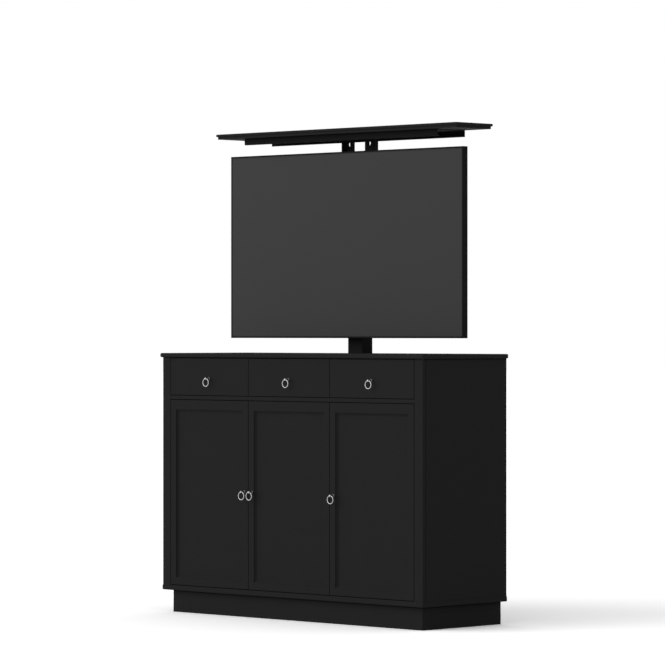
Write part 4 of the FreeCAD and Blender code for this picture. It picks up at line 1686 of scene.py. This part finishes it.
@dataclass(frozen=True)
class ControlBox:
    """The moulded box of the lift's electronics, with vents and an inlet in its back."""

    corner: float = 4 * MM
    softness: float = 1 * MM
    seam: float = 0.8 * MM
    seam_share: float = 0.62
    vents: int = 12
    vent_pitch: float = 7 * MM
    vent_width: float = 2.4 * MM
    vent_depth: float = 2 * MM
    vent_margins: tuple[float, float] = (16 * MM, 12 * MM)
    socket: tuple[float, float, float] = (28 * MM, 14 * MM, 20 * MM)
    pin: tuple[float, float, float] = (1.8 * MM, 9 * MM, 2.6 * MM)
    pin_root: float = 0.2 * MM
    pin_softness: float = 0.3 * MM
    pins: tuple[tuple[float, float], ...] = ((-7 * MM, -2 * MM), (0, 3 * MM), (7 * MM, -2 * MM))

    def build(self) -> None:
        """Shapes the case, cuts its seam, vents and inlet, and sets the inlet's pins."""
        space = Extent.of("control_box")
        low, high = space.low, space.high
        case = Workpiece.rounded("control_case", space, Axis.Z, self.corner)
        case.soften(self.softness, 3)
        level = low.z + space.size.z * self.seam_share
        around = space.grown((BEYOND, BEYOND, 0)).limited(z=(level, level + self.seam))
        ring = Workpiece.block("seam", around).hollow(space.grown((-self.seam, -self.seam, BEYOND)))
        first, margin = low.x + self.vent_margins[0], self.vent_margins[1]
        strip = space.grown((0, -margin, 0)).limited(z=(high.z - self.vent_depth, high.z + BEYOND))
        lefts = [first + step * self.vent_pitch for step in range(self.vents)]
        slots = [
            Workpiece.block("vent", strip.limited(x=(left, left + self.vent_width)))
            for left in lefts
        ]
        width, depth, height = self.socket
        left, floor, middle = high.x - 2 * width, high.y - depth, space.centre.z
        socket = Extent.between(
            (left, floor, middle - height / 2), (left + width, high.y + BEYOND, middle + height / 2)
        )
        case.cut(ring, Workpiece.gathered("vents", slots)).hollow(socket)
        thickness, length, breadth = self.pin
        foot = Extent.between(
            (-thickness / 2, floor - self.pin_root, -breadth / 2),
            (thickness / 2, floor + length, breadth / 2),
        )
        for across, up in self.pins:
            by = Vector((socket.centre.x + across, 0, middle + up))
            pin = Workpiece.block("pin", Extent(foot.low + by, foot.high + by))
            case.join(pin.soften(self.pin_softness))
        case.finish(PLASTIC, "cabinet", "control_box")


@dataclass(frozen=True)
class Carriage:
    """What rises on the column: the head, the television's rails, the posts and the lid."""

    head_sheet: float = 6 * MM
    head_bend: float = 9 * MM
    head_softness: float = 0.6 * MM
    rail_width: float = 30 * MM
    rail_wall: float = 2.5 * MM
    rail_bend: float = 3.5 * MM
    rail_softness: float = 0.3 * MM
    slot: tuple[float, float] = (6 * MM, 30 * MM)
    slot_round: float = 2.9 * MM
    slot_pitch: float = 60 * MM
    screw_margin: float = 20 * MM
    bore: float = 3.1 * MM
    post_wall: float = 2.5 * MM
    post_bend: float = 4 * MM
    post_softness: float = 0.4 * MM
    post_hole: float = 8 * MM
    post_hole_drop: float = 31 * MM
    tray_sheet: float = 2 * MM
    tray_bend: float = 3 * MM
    tray_softness: float = 0.3 * MM
    tray_lip: float = 12 * MM
    lid_lip: float = 8.3 * MM
    lid_step: float = 4.4 * MM
    lid_softness: float = 0.8 * MM

    def build(self) -> None:
        """Shapes the pieces from the head up."""
        self.build_head()
        self.build_rails()
        self.build_posts()
        self.build_tray()
        self.build_lid()

    def screw_places(self) -> list[tuple[float, float]]:
        """Places across and up of the four screws through the head and the rails."""
        rails = Extent.of("tv_rails")
        half = (rails.size.x - self.rail_width) / 2
        levels = (rails.low.z + self.screw_margin, rails.high.z - self.screw_margin)
        return [(way * half, level) for way in (-1, 1) for level in levels]

    def build_head(self) -> None:
        """The head: one thick plate bent over the column and down in front of it."""
        space = Extent.of("head_bracket")
        low, high = space.low, space.high
        section = ((low.y, low.z), (low.y, high.z), (high.y, high.z))
        corners = [Vector((low.x, y, z)) for y, z in section]
        along = Axis.X.value * space.size.x
        head = Workpiece.folded(
            "head_plate", corners, along, Axis.Y.value, self.head_sheet, self.head_bend
        )
        for across, level in self.screw_places():
            head.drill((across, low.y - BEYOND, level), Axis.Y, self.bore, 3 * self.head_sheet)
        head.soften(self.head_softness).finish(POWDER_COAT, "lift_carriage", "head_bracket")
        grip = self.head_sheet + self.rail_wall
        screws = [
            CapScrew().make(
                "head_screw", Vector((across, low.y + self.head_sheet, level)), Axis.Y, 1, grip
            )
            for across, level in self.screw_places()
        ]
        Workpiece.gathered("head_screw_set", screws).finish(ZINC, "lift_carriage", "tv_rail_screws")

    def build_rails(self) -> None:
        """Two channels with a row of fixing slots, open towards the television."""
        space = Extent.of("tv_rails")
        rails = [self.make_rail(part) for part in space.ends(self.rail_width)]
        Workpiece.gathered("rail_pair", rails).finish(POWDER_COAT, "lift_carriage", "tv_rails")

    def make_rail(self, space: Extent) -> Workpiece:
        """A channel with its slots and the holes for its screws.

        Args:
            space: The space that it fills.

        Returns:
            The rail.
        """
        low, high, middle = space.low, space.high, space.centre.x
        plan = [(low.x, low.y), (low.x, high.y), (high.x, high.y), (high.x, low.y)]
        rail = Workpiece.folded(
            "rail", [Vector((x, y, low.z)) for x, y in plan],
            Axis.Z.value * space.size.z, Axis.X.value, self.rail_wall, self.rail_bend,
        )
        for across, level in self.screw_places():
            if touches(across, middle):
                rail.drill((across, low.y - BEYOND, level), Axis.Y, self.bore, space.size.y * 2)
        width, height = self.slot
        for step in (-1, 0, 1):
            level = space.centre.z + step * self.slot_pitch
            opening = space.grown((0, BEYOND, 0)).limited(
                x=(middle - width / 2, middle + width / 2),
                z=(level - height / 2, level + height / 2),
            )
            rail.cut(Workpiece.rounded("slot", opening, Axis.Y, self.slot_round, 5))
        return rail.soften(self.rail_softness, 1)

    def build_posts(self) -> None:
        """Two folded channels, one open to the front and one to the back, each with a hole."""
        hole_level = Extent.of("lid_board").low.z - self.post_hole_drop
        for side in ("left", "right"):
            space = Extent.of(f"{side}_lid_post")
            low, high = space.low, space.high
            open_y, web_y = (low.y, high.y) if side == "left" else (high.y, low.y)
            plan = [(low.x, open_y), (low.x, web_y), (high.x, web_y), (high.x, open_y)]
            post = Workpiece.folded(
                f"{side}_channel", [Vector((x, y, low.z)) for x, y in plan],
                Axis.Z.value * space.size.z, Axis.X.value, self.post_wall, self.post_bend,
            )
            start = (space.centre.x, low.y - BEYOND, hole_level)
            post.drill(start, Axis.Y, self.post_hole, space.size.y + 2 * BEYOND, 48)
            post.soften(self.post_softness).finish(LIGHTENED_LIFT_COAT, "lift_carriage", f"{side}_lid_post")

    def build_tray(self) -> None:
        """The folded tray under the lid, with a return lip along its front."""
        space = Extent.of("lid_tray")
        low, high = space.low, space.high
        lip = low.y + self.tray_lip
        section = [(lip, low.z), (low.y, low.z), (low.y, high.z), (high.y, high.z), (high.y, low.z)]
        tray = Workpiece.folded(
            "tray_sheet", [Vector((low.x, y, z)) for y, z in section],
            Axis.X.value * space.size.x, Axis.Z.value, self.tray_sheet, self.tray_bend,
        )
        tray.soften(self.tray_softness, 1).finish(POWDER_COAT, "lift_carriage", "lid_tray")

    def build_lid(self) -> None:
        """The lid: a lipped board whose lower part drops into the slot of the top."""
        space = Extent.of("lid_board")
        step_level = space.high.z - self.lid_lip
        lid = Workpiece.block("lid_panel", space.limited(z=(step_level, space.high.z)))
        lid.faces(facing(Axis.Z, -1)).inset(self.lid_step)
        lid.draw_out((0, 0, space.low.z - step_level)).leave()
        lid.soften(self.lid_softness, 3).finish(TOP_LACQUER, "lift_carriage", "lid_board")


# ---------------------------------------------------------------------------------------------
# Television
# ---------------------------------------------------------------------------------------------
@dataclass(frozen=True)
class Television:
    """A flat television with a thin bezel and a moulded back."""

    bezel: float = 5 * MM
    bezel_softness: float = 0.7 * MM
    pane_edge: tuple[float, float] = (0.6 * MM, 0.2 * MM)
    cover_wall: float = 3 * MM
    cover_round: float = 4 * MM
    hollow_share: float = 0.6
    bulge_height: float = 10 * MM
    bulge: tuple[float, float] = (700 * MM, 420 * MM)
    bulge_rise: float = 60 * MM
    bulge_taper: tuple[float, float, float] = (0.965, 1, 0.945)
    bulge_softness: float = 3 * MM
    vents: int = 44
    vent_pitch: float = 12 * MM
    vent_width: float = 4 * MM
    vent_round: float = 1.92 * MM
    vent_length: float = 34 * MM
    vent_depth: float = 3 * MM
    vent_drop: float = 24 * MM
    well: tuple[float, float] = (330 * MM, 440 * MM)
    well_levels: tuple[float, float] = (-6 * MM, 30 * MM)
    well_depth: float = 6 * MM
    well_softness: float = 2 * MM
    sockets: tuple[float, ...] = (362 * MM, 384 * MM, 406 * MM)
    socket_width: float = 15 * MM
    socket_levels: tuple[float, float] = (8 * MM, 14 * MM)
    socket_depth: float = 8 * MM

    def build(self) -> None:
        """Shapes the bezel, the screen and the back cover."""
        frame_space, pane_space = Extent.of("tv_bezel"), Extent.of("tv_screen")
        window = frame_space.grown((-self.bezel, 2 * BEYOND, -self.bezel))
        bezel = Workpiece.block("screen_frame", frame_space).hollow(window)
        bezel.soften(self.bezel_softness).finish(PLASTIC, "lift_carriage", "tv_bezel")
        pane = Workpiece.block("screen_pane", pane_space)
        pane.faces(facing(Axis.Y, -1)).inset(*self.pane_edge)
        glass = ScreenGlass(
            "anti_glare_screen", "screen_glass", (0.02, 0.02, 0.0202), 0.36, 0.004 * MM, 0.12,
            tone=0.03, half_width=pane_space.high.x, low=pane_space.low.z, high=pane_space.high.z,
        )
        pane.leave().finish(glass, "lift_carriage", "tv_screen")
        self.build_cover()

    def build_cover(self) -> None:
        """The back: a rounded shell with a sloped housing, vents and a socket well."""
        space = Extent.of("tv_back_cover")
        shell_back = space.high.y - self.bulge_height
        shell = space.limited(y=(space.low.y, shell_back))
        cover = Workpiece.block("back_shell", shell)
        cover.edges(rim(Axis.Y, shell_back)).round_picked(self.cover_round, 5)
        cover.faces(facing(Axis.Y, -1)).inset(self.cover_wall)
        cover.draw_out(Axis.Y.value * shell.size.y * self.hollow_share).leave()
        base = space.low.z + self.bulge_rise
        width, height = self.bulge
        bulge = Extent.between(
            (-width / 2, shell_back - BEYOND, base), (width / 2, space.high.y, base + height)
        )
        housing = Workpiece.block("housing", bulge)
        housing.faces(facing(Axis.Y, 1))
        bpy.ops.transform.resize(value=self.bulge_taper, center_override=bulge.centre)
        housing.leave().soften(self.bulge_softness, 3)
        cover.weld(housing).cut(self.make_vents(bulge))
        well = Extent.between(
            (self.well[0], shell_back - self.well_depth, base + self.well_levels[0]),
            (self.well[1], space.high.y + 5 * BEYOND, base + self.well_levels[1]),
        )
        cover.cut(Workpiece.block("well", well).soften(self.well_softness))
        low, high = (base + level for level in self.socket_levels)
        row = shell.limited(y=(shell_back - self.socket_depth, shell_back), z=(low, high))
        sockets = [
            Workpiece.block("socket", row.limited(x=(left, left + self.socket_width)))
            for left in self.sockets
        ]
        cover.cut(Workpiece.gathered("sockets", sockets))
        cover.finish(PLASTIC, "lift_carriage", "tv_back_cover")

    def make_vents(self, bulge: Extent) -> Workpiece:
        """The tool that cuts the row of vents.

        Args:
            bulge: The space of the housing that they are in.

        Returns:
            The tool.
        """
        first = -(self.vents - 1) / 2 * self.vent_pitch
        half, top = self.vent_width / 2, bulge.high.z - self.vent_drop
        opening = Extent.between(
            (first - half, bulge.high.y - self.vent_depth, top - self.vent_length),
            (first + half, bulge.high.y + BEYOND, top),
        )
        vent = Workpiece.rounded("vent", opening, Axis.Y, self.vent_round, 3)
        return vent.join(
            *(vent.copy("vent", (step * self.vent_pitch, 0, 0)) for step in range(1, self.vents))
        )


# ---------------------------------------------------------------------------------------------
# Studio
# ---------------------------------------------------------------------------------------------
@dataclass(frozen=True)
class Studio:
    """A white floor and sky, plain soft light and the camera."""

    floor_size: float = 120.0
    floor_shade: float = 0.8
    floor_seen: float = 1.86
    sky: float = 0.5
    key_strength: float = 1.85
    key_softness: float = 60.0
    key_from: tuple[float, float, float] = (-0.5, -0.84, 0.2)
    camera_place: tuple[float, float, float] = (9.14461, -9.19567, 0.98632)
    camera_azimuth: float = 44.783
    lens: float = 203.31
    sensor: float = 36.0
    farthest: float = 200.0

    def build(self) -> None:
        """Sets the stage, the light and the camera."""
        self.build_floor()
        self.build_sky()
        self.build_key()
        self.build_camera()
        bpy.context.scene.view_settings.view_transform = "Standard"

    def seen(self, shader: Shader) -> Value:
        """1 for rays that show what they meet: the camera's, and those in gloss and glass."""
        rays = [
            shader.node("ShaderNodeLightPath", output=f"Is {kind} Ray")
            for kind in ("Camera", "Glossy", "Transmission")
        ]
        return rays[0].highest(rays[1]).highest(rays[2])

    def build_floor(self) -> None:
        """A plain floor that is white to the eye and darker as a source of light."""
        bpy.ops.object.select_all(action="DESELECT")
        bpy.ops.mesh.primitive_plane_add(size=self.floor_size)
        floor = bpy.context.object
        floor.name = "floor"
        made = bpy.data.materials.new("floor_white")
        made.use_nodes = True
        shader = Shader(made.node_tree)
        shade, seen = ((level,) * 3 for level in (self.floor_shade, self.floor_seen))
        colour = shader.mix(self.seen(shader), shade, seen)
        diffuse = shader.node("ShaderNodeBsdfDiffuse", inputs={"Color": colour})
        shader.node("ShaderNodeOutputMaterial", inputs={"Surface": diffuse})
        floor.data.materials.append(made)

    def build_sky(self) -> None:
        """A white sky that lights the object at a plain level."""
        world = bpy.data.worlds.new("white_sky")
        bpy.context.scene.world = world
        world.use_nodes = True
        shader = Shader(world.node_tree)
        strength = self.seen(shader) * (1 - self.sky) + self.sky
        inputs = {"Color": (1, 1, 1, 1), "Strength": strength}
        sky = shader.node("ShaderNodeBackground", inputs=inputs)
        shader.node("ShaderNodeOutputWorld", inputs={"Surface": sky})

    def build_key(self) -> None:
        """A broad soft light from the left of the front."""
        light = bpy.data.lights.new("key", "SUN")
        light.energy = self.key_strength
        light.angle = math.radians(self.key_softness)
        key = bpy.data.objects.new("key", light)
        key.rotation_euler = Vector(self.key_from).to_track_quat("Z", "Y").to_euler()
        bpy.context.scene.collection.objects.link(key)

    def build_camera(self) -> None:
        """A level camera with a long lens."""
        lens = bpy.data.cameras.new("camera")
        lens.lens = self.lens
        lens.sensor_width = self.sensor
        lens.clip_end = self.farthest
        camera = bpy.data.objects.new("camera", lens)
        camera.location = self.camera_place
        camera.rotation_euler = (math.pi / 2, 0, math.radians(self.camera_azimuth))
        bpy.context.scene.collection.objects.link(camera)
        bpy.context.scene.camera = camera


def main() -> None:
    """Builds each sub-assembly in turn."""
    logging.basicConfig(level=logging.INFO, format="%(message)s")
    Studio().build()
    Carcass().build()
    for column in COLUMNS:
        Drawer(column).build()
    doors = [
        Door("left", -1, "left_side_panel"),
        Door("middle", 1, "door_divider"),
        Door("right", 1, "right_side_panel"),
    ]
    arms = [arm for door in doors for arm in door.build()]
    Workpiece.gathered("hinge_arm_set", arms).finish(ZINC, "cabinet", "hinge_arms")
    RingPull().build(f"{column}_{kind}" for kind in ("drawer", "door") for column in COLUMNS)
    LiftColumn().build()
    Carriage().build()
    Television().build()


if __name__ == "__main__":
    main()
